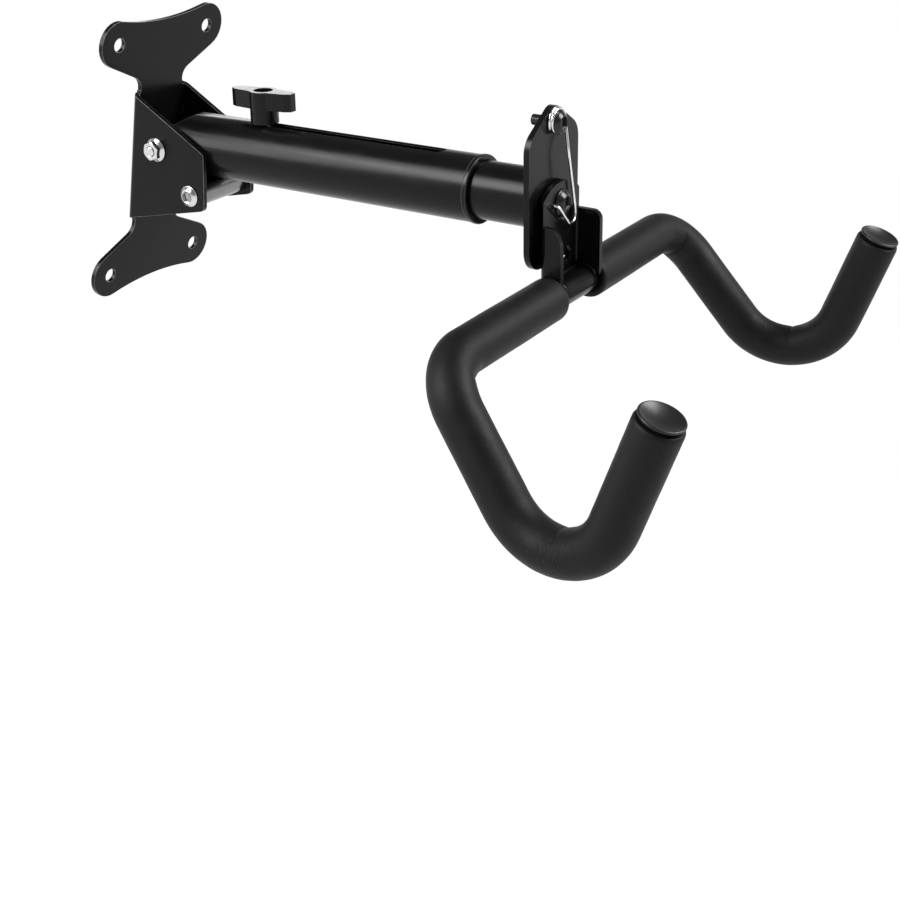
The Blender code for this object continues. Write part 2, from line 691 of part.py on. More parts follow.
def clip_bolt():
    """The bolt that holds the wire clip. Its thread runs through the lock plate and ends in the open."""
    bolt = button_bolt(BOLT_RADIUS, CLIP_BOLT_LENGTH, CLIP_HEAD_RADIUS, CLIP_HEAD_HEIGHT)
    return along_arm(bolt, arm(0, clip_head_seat(), CLIP_BOLT_UP))


def clip_spacer():
    """The ring between lock plate and bolt head, which keeps the wire free to turn."""
    low = PLATE_FRONT + SEAT_GAP
    high = clip_head_seat() - SEAT_GAP
    ring = lathe(ring_profile(HOLE_RADIUS, SPACER_RADIUS, low, high), ROUND_SIDES, is_ring=True)
    return along_arm(ring, arm(0, 0, CLIP_BOLT_UP))


def wire_route():
    """The wire clip's centre line: a free tail, most of one loop, a long leg, a hairpin and a tip."""
    loop_out = PLATE_FRONT + CLIP_STANDOFF / 2
    front_out = WEB_FRONT + LEG_OVER_WEB
    steps = round(LOOP_POINTS * COIL_TURN / math.tau)
    points = []
    for step in range(steps + 1):
        part = step / steps
        angle = COIL_TURN * (1 - part)
        radius = COIL_RADIUS + COIL_GROWTH * max(0, 1 - 2.4 * part) ** 2
        points.append(arm(radius * math.cos(angle), loop_out, CLIP_BOLT_UP + radius * math.sin(angle)))
    leg_top = arm(LEG_ACROSS, loop_out, CLIP_BOLT_UP - LEG_BELOW_BOLT)
    over_web = arm(LEG_ACROSS, front_out, CHANNEL_TOP + 2 * WIRE_RADIUS)
    hairpin = arm(HAIRPIN_ACROSS, front_out + WIRE_RADIUS, HAIRPIN_UP)
    crest = arm(LATCH_ACROSS, WEB_FRONT + CREST_HEIGHT, LATCH_UP)
    end = arm(LATCH_ACROSS, PLATE_BACK + WIRE_RADIUS, LATCH_UP)
    corners = [points[-1], leg_top, over_web, hairpin, crest, end]
    radii = [0, 2.5 * COIL_RADIUS, 2.5 * COIL_RADIUS, HAIRPIN_RADIUS, CREST_RADIUS, 0]
    return points[:-1] + bent_path(corners, radii, math.radians(20))


def least_gap(points, radius):
    """The narrowest gap of a tube to itself, measured between points that aren't neighbours."""
    lengths = [0.0]
    for before, after in zip(points, points[1:]):
        lengths.append(lengths[-1] + (after - before).length)
    gap = BEYOND
    for first, start in enumerate(points):
        for second in range(first + 1, len(points)):
            if lengths[second] - lengths[first] > math.pi * 2 * radius:
                gap = min(gap, (points[second] - start).length - 2 * radius)
    return gap


def wire_clip(body):
    """The spring wire as one unbroken tube."""
    points = wire_route()
    print("wire clip, least gap to itself: %.2f mm" % (least_gap(points, WIRE_RADIUS) / MM))
    curve = bpy.data.curves.new("wire_clip", "CURVE")
    curve.dimensions = "3D"
    curve.bevel_depth = WIRE_RADIUS
    curve.bevel_resolution = 1
    curve.use_fill_caps = True
    curve.render_resolution_u = 0
    spline = curve.splines.new("POLY")
    spline.points.add(len(points) - 1)
    for target, point in zip(spline.points, points):
        target.co = (*(point - body["place"]), 1)
    made = bpy.data.objects.new("wire_clip", curve)
    made.data.materials.append(LOOKS["spring_wire"])
    made.parent = body["empty"]
    bpy.context.scene.collection.objects.link(made)


def bent_path(corners, radii, step):
    """Points along straight runs that are joined by arcs. The first and last radius aren't read."""
    points = [corners[0].copy()]
    for index in range(1, len(corners) - 1):
        here = corners[index]
        before = (corners[index - 1] - here).normalized()
        after = (corners[index + 1] - here).normalized()
        half = before.angle(after) / 2
        reach = radii[index] / math.tan(half)
        middle = here + (before + after).normalized() * radii[index] / math.sin(half)
        first = here + before * reach - middle
        last = here + after * reach - middle
        sweep = first.angle(last)
        count = max(2, round(sweep / step))
        axis = first.cross(last).normalized()
        for part in range(count + 1):
            points.append(middle + Matrix.Rotation(sweep * part / count, 3, axis) @ first)
    points.append(corners[-1].copy())
    return points


def channel_section():
    """The swivel bracket's channel, seen from above: a web and two cheeks."""
    outer = BEND_RADIUS + CHANNEL_SHEET
    inside = CHANNEL_HALF_WIDTH - CHANNEL_SHEET
    front = -(WEB_FRONT + CHEEK_DEPTH_RIGHT)
    turn = -(WEB_BACK + outer)
    right = arc((CHANNEL_HALF_WIDTH - outer, turn), outer, 90, 0, 5)
    right += [(CHANNEL_HALF_WIDTH, front), (inside, front)]
    right += arc((inside - BEND_RADIUS, turn), BEND_RADIUS, 0, 90, 4)
    left = [(-x, y) for x, y in reversed(right)]
    return right + left


def channel_front():
    """The channel's outline, seen from in front: a wide crown with small corners over a straight foot."""
    radius = CHANNEL_CROWN_RADIUS
    corner = CHANNEL_TOP_CORNER
    centre = CHANNEL_TOP - radius
    across = CHANNEL_HALF_WIDTH + TINY - corner
    up = centre + math.sqrt((radius - corner) ** 2 - across ** 2)
    lean = math.degrees(math.atan2(up - centre, across))
    right = [(across + corner, -BAR_DROP)] + arc((across, up), corner, 0, lean, 4)
    crown = arc((0, centre), radius, lean, 180 - lean, 10)[1:-1]
    left = [(-x, z) for x, z in reversed(right)]
    return right + crown + left


def channel_side(cheek_top, cheek_depth):
    """The channel's outline, seen from one side: the web, and a cheek that ends above the bar."""
    back = -WEB_BACK + CHANNEL_SHEET
    web = -WEB_FRONT
    front = -(WEB_FRONT + cheek_depth)
    foot = -BAR_DROP + CHEEK_FOOT
    top = CHANNEL_TOP + CHANNEL_SHEET
    bottom = -BAR_DROP - CHANNEL_SHEET
    corners = [(back, bottom), (back, top), (web, top), (web, cheek_top)]
    corners += [(front, cheek_top), (front, foot), (web, foot), (web, bottom)]
    radii = [TINY, TINY, TINY, TINY, CHEEK_CORNER, TINY, TINY, TINY]
    return rounded(corners, radii)


def trimmed_channel():
    """The channel cut to its outlines. The left cheek is lower and shallower than the right one."""
    channel = prism(channel_section(), -BEYOND, BEYOND, "xy")
    channel = kept(channel, prism(channel_front(), -BEYOND, 0, "xz"))
    cheeks = ((-BEYOND, CHEEK_TOP_LEFT, CHEEK_DEPTH_LEFT), (BEYOND, CHEEK_TOP_RIGHT, CHEEK_DEPTH_RIGHT))
    halves = []
    for reach, top, depth in cheeks:
        outline = prism(channel_side(top, depth), min(0, reach), max(0, reach), "yz")
        halves.append(kept(channel.copy(), outline))
    channel.free()
    return joined(*halves)


def swivel_bracket():
    """The channel that carries the hook bar and turns on the swivel bolt."""
    channel = trimmed_channel()
    saddle = circle((-BAR_OUT, -BAR_DROP), BAR_RADIUS + SEAT_GAP, ROUND_SIDES)
    channel = cut(channel, prism(saddle, -BEYOND, BEYOND, "yz"))
    low = WEB_BACK - CHANNEL_SHEET
    high = WEB_FRONT + CHANNEL_SHEET / 2
    bolt_hole = circle((0, SWIVEL_UP), SWIVEL_BOLT_RADIUS + SEAT_GAP, ROUND_SIDES)
    open_hole = circle((WEB_HOLE_ACROSS, WEB_HOLE_UP), WEB_HOLE_RADIUS, ROUND_SIDES)
    for hole in (bolt_hole, open_hole):
        channel = cut(channel, prism(hole, -high, -low, "xz"))
    return cut(channel, latch_hole(low, high))


def hook_corners(side):
    """One hook's centre line from the middle of the bar, as corners. Both are drawn to the right."""
    start = arm(0, BAR_OUT, -BAR_DROP)
    shoulder = start + Vector((BAR_HALF_WIDTH, 0, 0))
    level = math.cos(LEG_SPLAY)
    leg = arm(math.sin(LEG_SPLAY), math.cos(LEG_DROP) * level, -math.sin(LEG_DROP) * level)
    cradle = shoulder + leg * LEG_LENGTH
    tip = cradle + tip_direction() * TIP_LENGTHS[side]
    return [start, shoulder, cradle, tip]


def tip_direction():
    """Which way the hook's free end points."""
    return arm(0, math.cos(TIP_RISE), math.sin(TIP_RISE))


def hook_line(side):
    """One hook's centre line, from the middle of the bar to the cap's seat, with its frames."""
    corners = hook_corners(side)
    corners[-1] -= tip_direction() * (CAP_THICKNESS + SEAT_GAP)
    points = bent_path(corners, [0, SHOULDER_RADIUS, CRADLE_RADIUS, 0], BEND_STEP)
    normal = Vector((0, 0, 1))
    stations = []
    for index, point in enumerate(points):
        before = points[max(index - 1, 0)]
        after = points[min(index + 1, len(points) - 1)]
        along = ((point - before).normalized() + (after - point).normalized()).normalized()
        normal = (normal - along * normal.dot(along)).normalized()
        stations.append((point, normal, along.cross(normal)))
    return stations


def ring(station, radius, side):
    """One ring of corners round the hook's centre line, on the right (+1) or mirrored (-1)."""
    point, normal, across = station
    corners = []
    for step in range(BAR_SIDES):
        angle = math.tau * step / BAR_SIDES
        corner = point + (normal * math.cos(angle) + across * math.sin(angle)) * radius
        corners.append(Vector((side * corner.x, corner.y, corner.z)))
    return corners


def pipe(outer, inner):
    """A closed pipe from two lists of rings, one outside and one inside."""
    bm = bmesh.new()
    rows = []
    for rings in (outer, inner):
        rows.append([[bm.verts.new(corner) for corner in corners] for corners in rings])
    for row in rows:
        for first, second in zip(row, row[1:]):
            skin(bm, first, second)
    for end in (0, -1):
        skin(bm, rows[0][end], rows[1][end])
    bmesh.ops.recalc_face_normals(bm, faces=bm.faces)
    return bm


def skin(bm, first, second):
    """The faces between two rings of corners."""
    for index in range(len(first)):
        after = (index + 1) % len(first)
        bm.faces.new((first[index], first[after], second[after], second[index]))


def hook_bar():
    """One steel tube, bent into the cross bar and both hooks."""
    rings = {}
    for radius in (BAR_RADIUS, BAR_BORE):
        left = [ring(station, radius, -1) for station in reversed(hook_line(-1)[1:])]
        rings[radius] = left + [ring(station, radius, 1) for station in hook_line(1)]
    return pipe(rings[BAR_RADIUS], rings[BAR_BORE])


def foam_sleeve(side):
    """The foam sleeve of one hook, from beside the swivel bracket to the end cap."""
    stations = hook_line(side)
    point, normal, across = stations[0]
    stations[0] = (point + Vector((FOAM_START, 0, 0)), normal, across)
    outer = [ring(station, FOAM_RADIUS, side) for station in stations]
    inner = [ring(station, FOAM_BORE, side) for station in stations]
    return pipe(outer, inner)


def end_cap(side):
    """A plastic plug in the bar's end, with a dished head that covers the foam."""
    edge = CAP_RIM / 3
    plug = BAR_BORE - SEAT_GAP
    profile = [(0, -CAP_PLUG_LENGTH), (plug, -CAP_PLUG_LENGTH), (plug, 0), (CAP_RADIUS - edge, 0)]
    profile += [(CAP_RADIUS, edge), (CAP_RADIUS, CAP_THICKNESS - edge), (CAP_RADIUS - edge, CAP_THICKNESS)]
    bowl = CAP_RADIUS - CAP_RIM
    radius = (bowl ** 2 + CAP_DISH ** 2) / (2 * CAP_DISH)
    lean = math.degrees(math.asin(bowl / radius))
    profile += arc((0, CAP_THICKNESS - CAP_DISH + radius), radius, -90 + lean, -90, 4)
    cap = lathe(profile, ROUND_SIDES)
    seat = hook_corners(side)[-1] - tip_direction() * CAP_THICKNESS
    place = Vector((side * seat.x, seat.y, seat.z))
    return moved(cap, facing(tip_direction(), place))


def build_bracket():
    """What stays on the wall."""
    body = body_frame("wall", (0, 0, 0), Matrix.Identity(4))
    pivot, rest = bracket_bolt_places()
    piece("wall_bracket", wall_bracket(), "black_steel", body)
    piece("pivot_bolt", pivot_bolt(pivot), "zinc", body)
    piece("pivot_nut", bracket_nut(pivot, -1), "zinc", body)
    piece("rest_bolt", rest_bolt(rest), "zinc", body)
    piece("rest_nut", bracket_nut(rest, 1), "zinc", body)
    piece("rest_sleeve", along_x(cross_sleeve(REST_RADIUS), rest), "zinc", body)


def build_arm():
    """What folds up with the outer tube."""
    place = arm(0, PIVOT_OUT, -PIVOT_DROP)
    body = body_frame("arm", place, ARM_FRAME)
    piece("outer_tube", outer_tube(), "black_steel", body)
    piece("tube_collar", tube_collar(), "black_plastic", body)
    piece("pivot_bush", along_x(cross_sleeve(BUSH_RADIUS), place), "zinc", body)


def build_extension():
    """What slides in the outer tube."""
    body = body_frame("extension", arm(0, KNOB_OUT, 0), ARM_FRAME)
    piece("inner_tube", inner_tube(), "black_steel", body)
    piece("rear_glide", rear_glide(), "black_plastic", body)
    piece("clamp_nut", clamp_nut(), "zinc", body)
    piece("lock_plate", lock_plate(), "black_steel", body)
    piece("swivel_bolt", swivel_bolt(), "black_oxide", body)
    piece("swivel_washer", swivel_washer(), "zinc", body)
    piece("swivel_nut", swivel_nut(), "zinc", body)
    piece("clip_bolt", clip_bolt(), "black_oxide", body)
    piece("clip_spacer", clip_spacer(), "zinc", body)


def build_knob():
    """What turns to clamp the two tubes."""
    body = body_frame("knob_axis", arm(0, KNOB_OUT, KNOB_SEAT), ARM_FRAME)
    piece("clamp_knob", knob(), "black_plastic", body)
    piece("knob_stud", knob_stud(), "zinc", body)


def build_clip():
    """The wire that swings on the clip bolt."""
    body = body_frame("clip_axis", arm(0, PLATE_FRONT, CLIP_BOLT_UP), ARM_FRAME)
    wire_clip(body)


def build_hooks():
    """What swivels on the arm's end."""
    body = body_frame("swivel_axis", arm(0, WEB_BACK, SWIVEL_UP), ARM_FRAME)
    piece("swivel_bracket", swivel_bracket(), "black_steel", body)
    piece("hook_bar", hook_bar(), "black_steel", body)
    piece("foam_left", foam_sleeve(-1), "foam", body)
    piece("foam_right", foam_sleeve(1), "foam", body)
    piece("end_cap_left", end_cap(-1), "gloss_plastic", body)
    piece("end_cap_right", end_cap(1), "gloss_plastic", body)


for old in list(bpy.data.objects):
    bpy.data.objects.remove(old)

LOOKS = {
    "black_steel": material("black_steel", (0.018, 0.018, 0.019), 0.0, 0.38),
    "black_plastic": material("black_plastic", (0.022, 0.022, 0.023), 0.0, 0.42),
    "gloss_plastic": material("gloss_plastic", (0.015, 0.015, 0.016), 0.0, 0.2),
    "foam": material("foam", (0.03, 0.03, 0.031), 0.0, 0.75),
    "zinc": material("zinc", (0.72, 0.73, 0.74), 1.0, 0.28),
    "black_oxide": material("black_oxide", (0.06, 0.06, 0.062), 0.8, 0.3),
    "spring_wire": material("spring_wire", (0.8, 0.8, 0.8), 1.0, 0.2),
}

build_bracket()
build_arm()
build_extension()
build_knob()
build_clip()
build_hooks()
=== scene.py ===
# %% [markdown]
# # A folding wall bike rack
# The rack is a pressed bracket that stays on the wall, a telescopic arm that folds up on it, and a
# swivelling pair of hooks in foam. The solids arrive ready made and in place, in metres, with +Z up
# and the wall at y = 0. This lesson gives them the surfaces and the fine shapes of the real rack.

# %% Load the solids and keep their box
import bisect
import json
import math

import bmesh
import bpy
from mathutils import Matrix, Vector, noise


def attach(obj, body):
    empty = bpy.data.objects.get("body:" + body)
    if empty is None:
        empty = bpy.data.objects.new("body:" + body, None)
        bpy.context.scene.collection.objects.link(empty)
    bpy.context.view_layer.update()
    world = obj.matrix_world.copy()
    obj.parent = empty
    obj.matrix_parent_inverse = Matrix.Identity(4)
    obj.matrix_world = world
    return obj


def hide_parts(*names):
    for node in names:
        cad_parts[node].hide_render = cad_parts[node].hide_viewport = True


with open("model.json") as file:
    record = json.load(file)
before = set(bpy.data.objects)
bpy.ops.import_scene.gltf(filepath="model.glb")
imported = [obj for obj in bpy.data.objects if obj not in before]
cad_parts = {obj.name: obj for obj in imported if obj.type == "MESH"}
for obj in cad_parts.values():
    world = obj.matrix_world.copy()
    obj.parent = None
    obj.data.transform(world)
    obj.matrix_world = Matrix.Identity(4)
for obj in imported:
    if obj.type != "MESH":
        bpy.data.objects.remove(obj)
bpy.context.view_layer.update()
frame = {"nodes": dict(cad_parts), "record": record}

nodes = frame["nodes"]

# %% [markdown]
# The arm leans up by 10 degrees, so most pieces are easiest to think of in the arm's own frame:
# "out" is the distance from the wall along the arm, and "up" is the height above its axis. One
# matrix turns that frame into the room, and one helper places a point through it.

# %% The arm's own frame
TILT = math.radians(10)
ARM = Matrix.Rotation(-TILT, 4, "X")
OUT = ARM @ Vector((0, -1, 0))


def arm(across, out, up):
    """A point given across, out along and up from the arm's axis, in metres."""
    return ARM @ Vector((across, -out, up))


def facing(direction, place):
    """The matrix that takes +Z to a direction, and the origin to a place."""
    turn = Vector((0, 0, 1)).rotation_difference(Vector(direction))
    return Matrix.Translation(place) @ turn.to_matrix().to_4x4()


print("the arm points along", [round(v, 3) for v in OUT])

# %% [markdown]
# ## The camera
# The picture was taken from the left, in front of the rack and a little above it, with the rack high
# in the frame. A camera that only turns would lean the verticals, so the rack is framed with the
# lens shift that the picture has. Moving a camera about by eye would never quite match, so its three
# axes are built from angles that were measured on the rack's straight edges.

# %% The camera
PICTURE = (900, 919)
LENS_CENTRE = (490.5, 290.5)
MIDDLE = Vector((0, -0.2, 0))
MIDDLE_SEEN_AT = (418.51, 237.14)

camera_data = bpy.data.cameras.new("camera")
camera = bpy.data.objects.new("camera", camera_data)
bpy.context.scene.collection.objects.link(camera)
bpy.context.scene.camera = camera


def aim_camera(azimuth, elevation, roll, focal, depth):
    """Sets the camera from its angles in degrees, its focal length in pixels and the middle's depth."""
    az, el, turn = (math.radians(angle) for angle in (azimuth, elevation, roll))
    back = Vector((math.sin(az) * math.cos(el), -math.cos(az) * math.cos(el), math.sin(el)))
    level = Vector((math.cos(az), math.sin(az), 0))
    upright = back.cross(level)
    right = math.cos(turn) * level + math.sin(turn) * upright
    up = -math.sin(turn) * level + math.cos(turn) * upright
    sideways = (MIDDLE_SEEN_AT[0] - LENS_CENTRE[0]) / focal * depth
    upwards = (LENS_CENTRE[1] - MIDDLE_SEEN_AT[1]) / focal * depth
    place = MIDDLE - right * sideways - up * upwards + back * depth
    rows = Matrix((right, up, back)).transposed().to_4x4()
    camera.matrix_world = Matrix.Translation(place) @ rows
    camera_data.lens = focal * camera_data.sensor_width / PICTURE[1]
    camera_data.shift_x = (PICTURE[0] / 2 - LENS_CENTRE[0]) / PICTURE[1]
    camera_data.shift_y = (LENS_CENTRE[1] - PICTURE[1] / 2) / PICTURE[1]
    camera_data.clip_start = 0.01
    camera_data.clip_end = 100
    print("camera at", [round(v, 3) for v in place], "lens", round(camera_data.lens, 1))


aim_camera(azimuth=-62.1, elevation=25.05, roll=8.96, focal=1512.41, depth=0.86226)

# %% [markdown]
# ## The room
# Black steel shows its shape by what it mirrors. A plain white world would flood it, and a dark one
# would turn the picture's ground grey. So the world asks what kind of ray meets it: a camera or a
# clear ray that looks past the rack sees pure white, a mirrored ray sees white with a darker ceiling
# over it, and the room's plain light, which is weaker, carries the colours.

# %% Helpers for shaders
scene = bpy.context.scene
scene.view_settings.view_transform = "Standard"


def combined(tree, operation, first, second):
    """One value out of two by a plain operation. The second may be a number."""
    node = tree.nodes.new("ShaderNodeMath")
    node.operation = operation
    tree.links.new(first, node.inputs[0])
    if isinstance(second, float):
        node.inputs[1].default_value = second
    else:
        tree.links.new(second, node.inputs[1])
    return node.outputs[0]


def mapped(tree, value, source, target, kind="LINEAR"):
    """A value taken from one range onto another, and held at its ends."""
    node = tree.nodes.new("ShaderNodeMapRange")
    node.interpolation_type = kind
    for socket, number in zip(("From Min", "From Max", "To Min", "To Max"), (*source, *target)):
        node.inputs[socket].default_value = number
    tree.links.new(value, node.inputs["Value"])
    return node.outputs["Result"]


def end_in_mix(tree, share, first, second, output):
    """Ends a shader in a mix of two, with the second in a given share."""
    mix = tree.nodes.new("ShaderNodeMixShader")
    tree.links.new(share, mix.inputs["Fac"])
    tree.links.new(first.outputs[0], mix.inputs[1])
    tree.links.new(second.outputs[0], mix.inputs[2])
    tree.links.new(mix.outputs[0], tree.nodes.new(output).inputs["Surface"])


print("view:", scene.view_settings.view_transform)

# %% The room
PLAIN_LIGHT = 0.5
CEILING = 0.2
CEILING_FADE = (0.0, 0.4)


def ceiling(tree):
    """White up to a height in the direction of view, and darker above it."""
    place = tree.nodes.new("ShaderNodeTexCoord")
    split = tree.nodes.new("ShaderNodeSeparateXYZ")
    tree.links.new(place.outputs["Generated"], split.inputs["Vector"])
    return mapped(tree, split.outputs["Z"], CEILING_FADE, (1.0, CEILING), "SMOOTHSTEP")


def white_room(world):
    """White where the camera looks, white under a dark ceiling in mirrors, and plain light elsewhere."""
    world.use_nodes = True
    tree = world.node_tree
    tree.nodes.clear()
    path = tree.nodes.new("ShaderNodeLightPath").outputs
    looking = combined(tree, "MAXIMUM", path["Is Camera Ray"], path["Is Transmission Ray"])
    seen = combined(tree, "MAXIMUM", looking, path["Is Glossy Ray"])
    plain = tree.nodes.new("ShaderNodeBackground")
    plain.inputs["Color"].default_value = (1, 1, 1, 1)
    plain.inputs["Strength"].default_value = PLAIN_LIGHT
    white = tree.nodes.new("ShaderNodeBackground")
    white.inputs["Color"].default_value = (1, 1, 1, 1)
    tree.links.new(combined(tree, "MAXIMUM", looking, ceiling(tree)), white.inputs["Strength"])
    end_in_mix(tree, seen, plain, white, "ShaderNodeOutputWorld")
    print("room:", world.name)


scene.world = bpy.data.worlds.new("white_room")
white_room(scene.world)

# %% [markdown]
# ## The lamps
# Four soft lamps draw the highlights: a long one on the left behind the rack, which draws the pale
# band down the tubes, a wider one at its upper end, which makes the band grow broader towards the
# hooks, one high on the right in front, which draws the soft band down the foam, and a small one low
# behind, which brightens the faces that look up, such as the knob's top. Small lamps far away would
# give the same light but thin, hard highlights. Each lamp is placed by its direction from the rack's
# middle, because the direction decides where on a tube its band lies.

# %% The lamps
def soft_lamp(name, direction, distance, long_way, length, width, power):
    """A rectangular lamp that looks at the middle of the rack, its length along one way."""
    data = bpy.data.lights.new(name, "AREA")
    data.shape = "RECTANGLE"
    data.size = length
    data.size_y = width
    data.energy = power
    lamp = bpy.data.objects.new(name, data)
    towards = Vector(direction).normalized()
    along = Vector(long_way)
    along = (along - towards * along.dot(towards)).normalized()
    rows = Matrix((along, towards.cross(along), towards)).transposed().to_4x4()
    lamp.matrix_world = Matrix.Translation(MIDDLE + towards * distance) @ rows
    scene.collection.objects.link(lamp)
    print("lamp", name, "at", [round(v, 2) for v in lamp.matrix_world.translation], "%.1f W" % power)


soft_lamp("long_left", (-0.66, 0.63, 0.41), distance=1.9, long_way=(0.15, -0.5, 0.75),
          length=1.9, width=0.6, power=25)
soft_lamp("wide_left", (-0.64, 0.515, 0.575), distance=2.0, long_way=(0.15, -0.5, 0.75),
          length=1.0, width=1.3, power=24)
soft_lamp("high_right", (0.42, -0.6, 0.68), distance=1.6, long_way=(1, 0.7, 0),
          length=0.8, width=0.8, power=32)
soft_lamp("low_behind", (0.7, 0.71, 0.09), distance=1.9, long_way=(0.71, -0.7, 0),
          length=0.5, width=0.4, power=1.5)

# %% [markdown]
# ## The floor
# The rack stands before plain white, with hardly a shadow. A matt white floor would turn grey away
# from the lamps, so this one mostly glows in the eyes of the camera and of mirrors, and is matt only
# in a small share that takes the shadow. The share fades out around, so that the floor's own edge
# doesn't show from the side.

# %% The floor
FLOOR = -0.45
FLOOR_REACH = 6
GLOW_NEAR = 0.9
GLOW_FADE = (0.6, 1.8)


def placed(name, bm):
    """An object in the scene, made from a bmesh."""
    mesh = bpy.data.meshes.new(name)
    bm.to_mesh(mesh)
    bm.free()
    made = bpy.data.objects.new(name, mesh)
    scene.collection.objects.link(made)
    return made


def white_floor():
    """A wide floor that keeps the rack's soft shadow near it and fades to plain white around."""
    bm = bmesh.new()
    bmesh.ops.create_grid(bm, x_segments=1, y_segments=1, size=FLOOR_REACH,
                          matrix=Matrix.Translation((0, 0, FLOOR)))
    made = placed("floor", bm)
    look = bpy.data.materials.new("white_floor")
    look.use_nodes = True
    tree = look.node_tree
    tree.nodes.clear()
    matt = tree.nodes.new("ShaderNodeBsdfDiffuse")
    matt.inputs["Color"].default_value = (0.92, 0.92, 0.92, 1)
    glow = tree.nodes.new("ShaderNodeEmission")
    glow.inputs["Strength"].default_value = 1.0
    path = tree.nodes.new("ShaderNodeLightPath").outputs
    distance = tree.nodes.new("ShaderNodeVectorMath")
    distance.operation = "LENGTH"
    tree.links.new(tree.nodes.new("ShaderNodeTexCoord").outputs["Object"], distance.inputs[0])
    seen = combined(tree, "MAXIMUM", path["Is Camera Ray"], path["Is Glossy Ray"])
    glowing = mapped(tree, distance.outputs["Value"], GLOW_FADE, (GLOW_NEAR, 1.0))
    share = combined(tree, "MULTIPLY", seen, glowing)
    end_in_mix(tree, share, matt, glow, "ShaderNodeOutputMaterial")
    made.data.materials.append(look)
    print("floor at z =", FLOOR)


white_floor()

# %% [markdown]
# ## Materials
# Every finish here is a Principled shader with its own grain. A picture of a surface would need seams
# on these bent shapes, so the grain is noise on Object coordinates, which needs none. Each object sits
# at the origin, so the grain runs on from one piece to the next. A finish is described by a few plain
# numbers: the colour and how much it wanders, how rough the surface is and how far that wanders, and
# the height and size of the grain that the light catches. Where a mesh carries the mark "edge", a
# second colour comes through.

# %% Helpers for finishes
MM = 0.001
CLOUDY = (0.3, 0.7)


def cloud(tree, place, size, detail):
    """A noise pattern read in object space, its patches about a size apart."""
    node = tree.nodes.new("ShaderNodeTexNoise")
    node.inputs["Scale"].default_value = 1 / size
    node.inputs["Detail"].default_value = detail
    tree.links.new(place, node.inputs["Vector"])
    return node.outputs["Fac"]


def tinted(tree, pattern, low, high):
    """A colour that wanders between two with a cloud pattern."""
    node = tree.nodes.new("ShaderNodeValToRGB")
    for element, position, colour in zip(node.color_ramp.elements, CLOUDY, (low, high)):
        element.position = position
        element.color = (*colour, 1)
    tree.links.new(pattern, node.inputs["Fac"])
    return node.outputs["Color"]


def carried(tree, name):
    """A number that the mesh carries under a name."""
    node = tree.nodes.new("ShaderNodeAttribute")
    node.attribute_name = name
    return node.outputs["Fac"]


def paint_edge_tone_and_light(tree, base, colour, pattern):
    """Mixes a colour over a base on the marked faces, broken up by a pattern: paler edges, partly a painted
    highlight, and painted shade in sockets.
    """
    node = tree.nodes.new("ShaderNodeMix")
    node.data_type = "RGBA"
    tree.links.new(combined(tree, "MULTIPLY", carried(tree, "edge"), pattern), node.inputs["Factor"])
    tree.links.new(base, node.inputs["A"])
    node.inputs["B"].default_value = (*colour, 1)
    return node.outputs["Result"]


def relief(tree, shader, pattern, height):
    """A bump of a given height from a pattern."""
    bump = tree.nodes.new("ShaderNodeBump")
    bump.inputs["Strength"].default_value = 1.0
    bump.inputs["Distance"].default_value = height
    tree.links.new(pattern, bump.inputs["Height"])
    tree.links.new(bump.outputs["Normal"], shader.inputs["Normal"])


def finish(name, colour, roughness, metallic=0.0, specular=0.5, stray=0.2, rough_stray=0.06,
           grain=0.6 * MM, height=0.02 * MM, coarse=6 * MM, edge_tone_and_painted_light=None):
    """A Principled finish with wandering colour and roughness, a fine grain and, if wanted, a second colour
    on marked faces: paler edges, partly painted highlight, and painted shade in sockets.
    """
    made = bpy.data.materials.new(name)
    made.use_nodes = True
    tree = made.node_tree
    shader = tree.nodes["Principled BSDF"]
    shader.inputs["Metallic"].default_value = metallic
    shader.inputs["Specular IOR Level"].default_value = specular
    place = tree.nodes.new("ShaderNodeTexCoord").outputs["Object"]
    broad = cloud(tree, place, coarse, 3)
    low = [channel * (1 - stray) for channel in colour]
    high = [min(1, channel * (1 + stray)) for channel in colour]
    tint = tinted(tree, broad, low, high)
    # Marked faces take the second colour: paler edges that are partly a painted highlight, and painted shade
    # in sockets.
    if edge_tone_and_painted_light:
        tint = paint_edge_tone_and_light(tree, tint, edge_tone_and_painted_light, broad)
    tree.links.new(tint, shader.inputs["Base Color"])
    rough = mapped(tree, broad, CLOUDY, (roughness - rough_stray, roughness + rough_stray))
    tree.links.new(rough, shader.inputs["Roughness"])
    relief(tree, shader, cloud(tree, place, grain, 2), height)
    print("finish", name)
    return made


# %% [markdown]
# The steel is powder coated: a satin black skin with the faint orange peel that the powder leaves as
# it melts, paler along the edges, partly because the coat is thinner there and partly as a painted
# highlight on the rounds. The moulded plastic's edges are paler too, as a painted highlight. The nuts
# are bright zinc with a fine brushed grain, the two bolts at the hooks are blackened steel, and the
# clip is bare spring wire. The knob, the collar and the end caps are plastic, and the caps reflect
# the most. A bolt's socket is painted dark as shade: its faces carry the mark too, and the second
# colour of both bolt finishes is a painted shade. The sleeve on the lower bolt lies in the bracket's
# shade and gets a darker zinc of its own.

# %% The rack's hard finishes
# The powder's pale second colour paints its edges: partly the thinner coat there, partly a painted highlight.
powder = finish("satin_powder_coat", (0.0036, 0.0033, 0.0034), 0.22, specular=0.17, stray=0.12,
                rough_stray=0.03, grain=1.1 * MM, height=0.006 * MM, coarse=14 * MM,
                edge_tone_and_painted_light=(0.3, 0.29, 0.29))
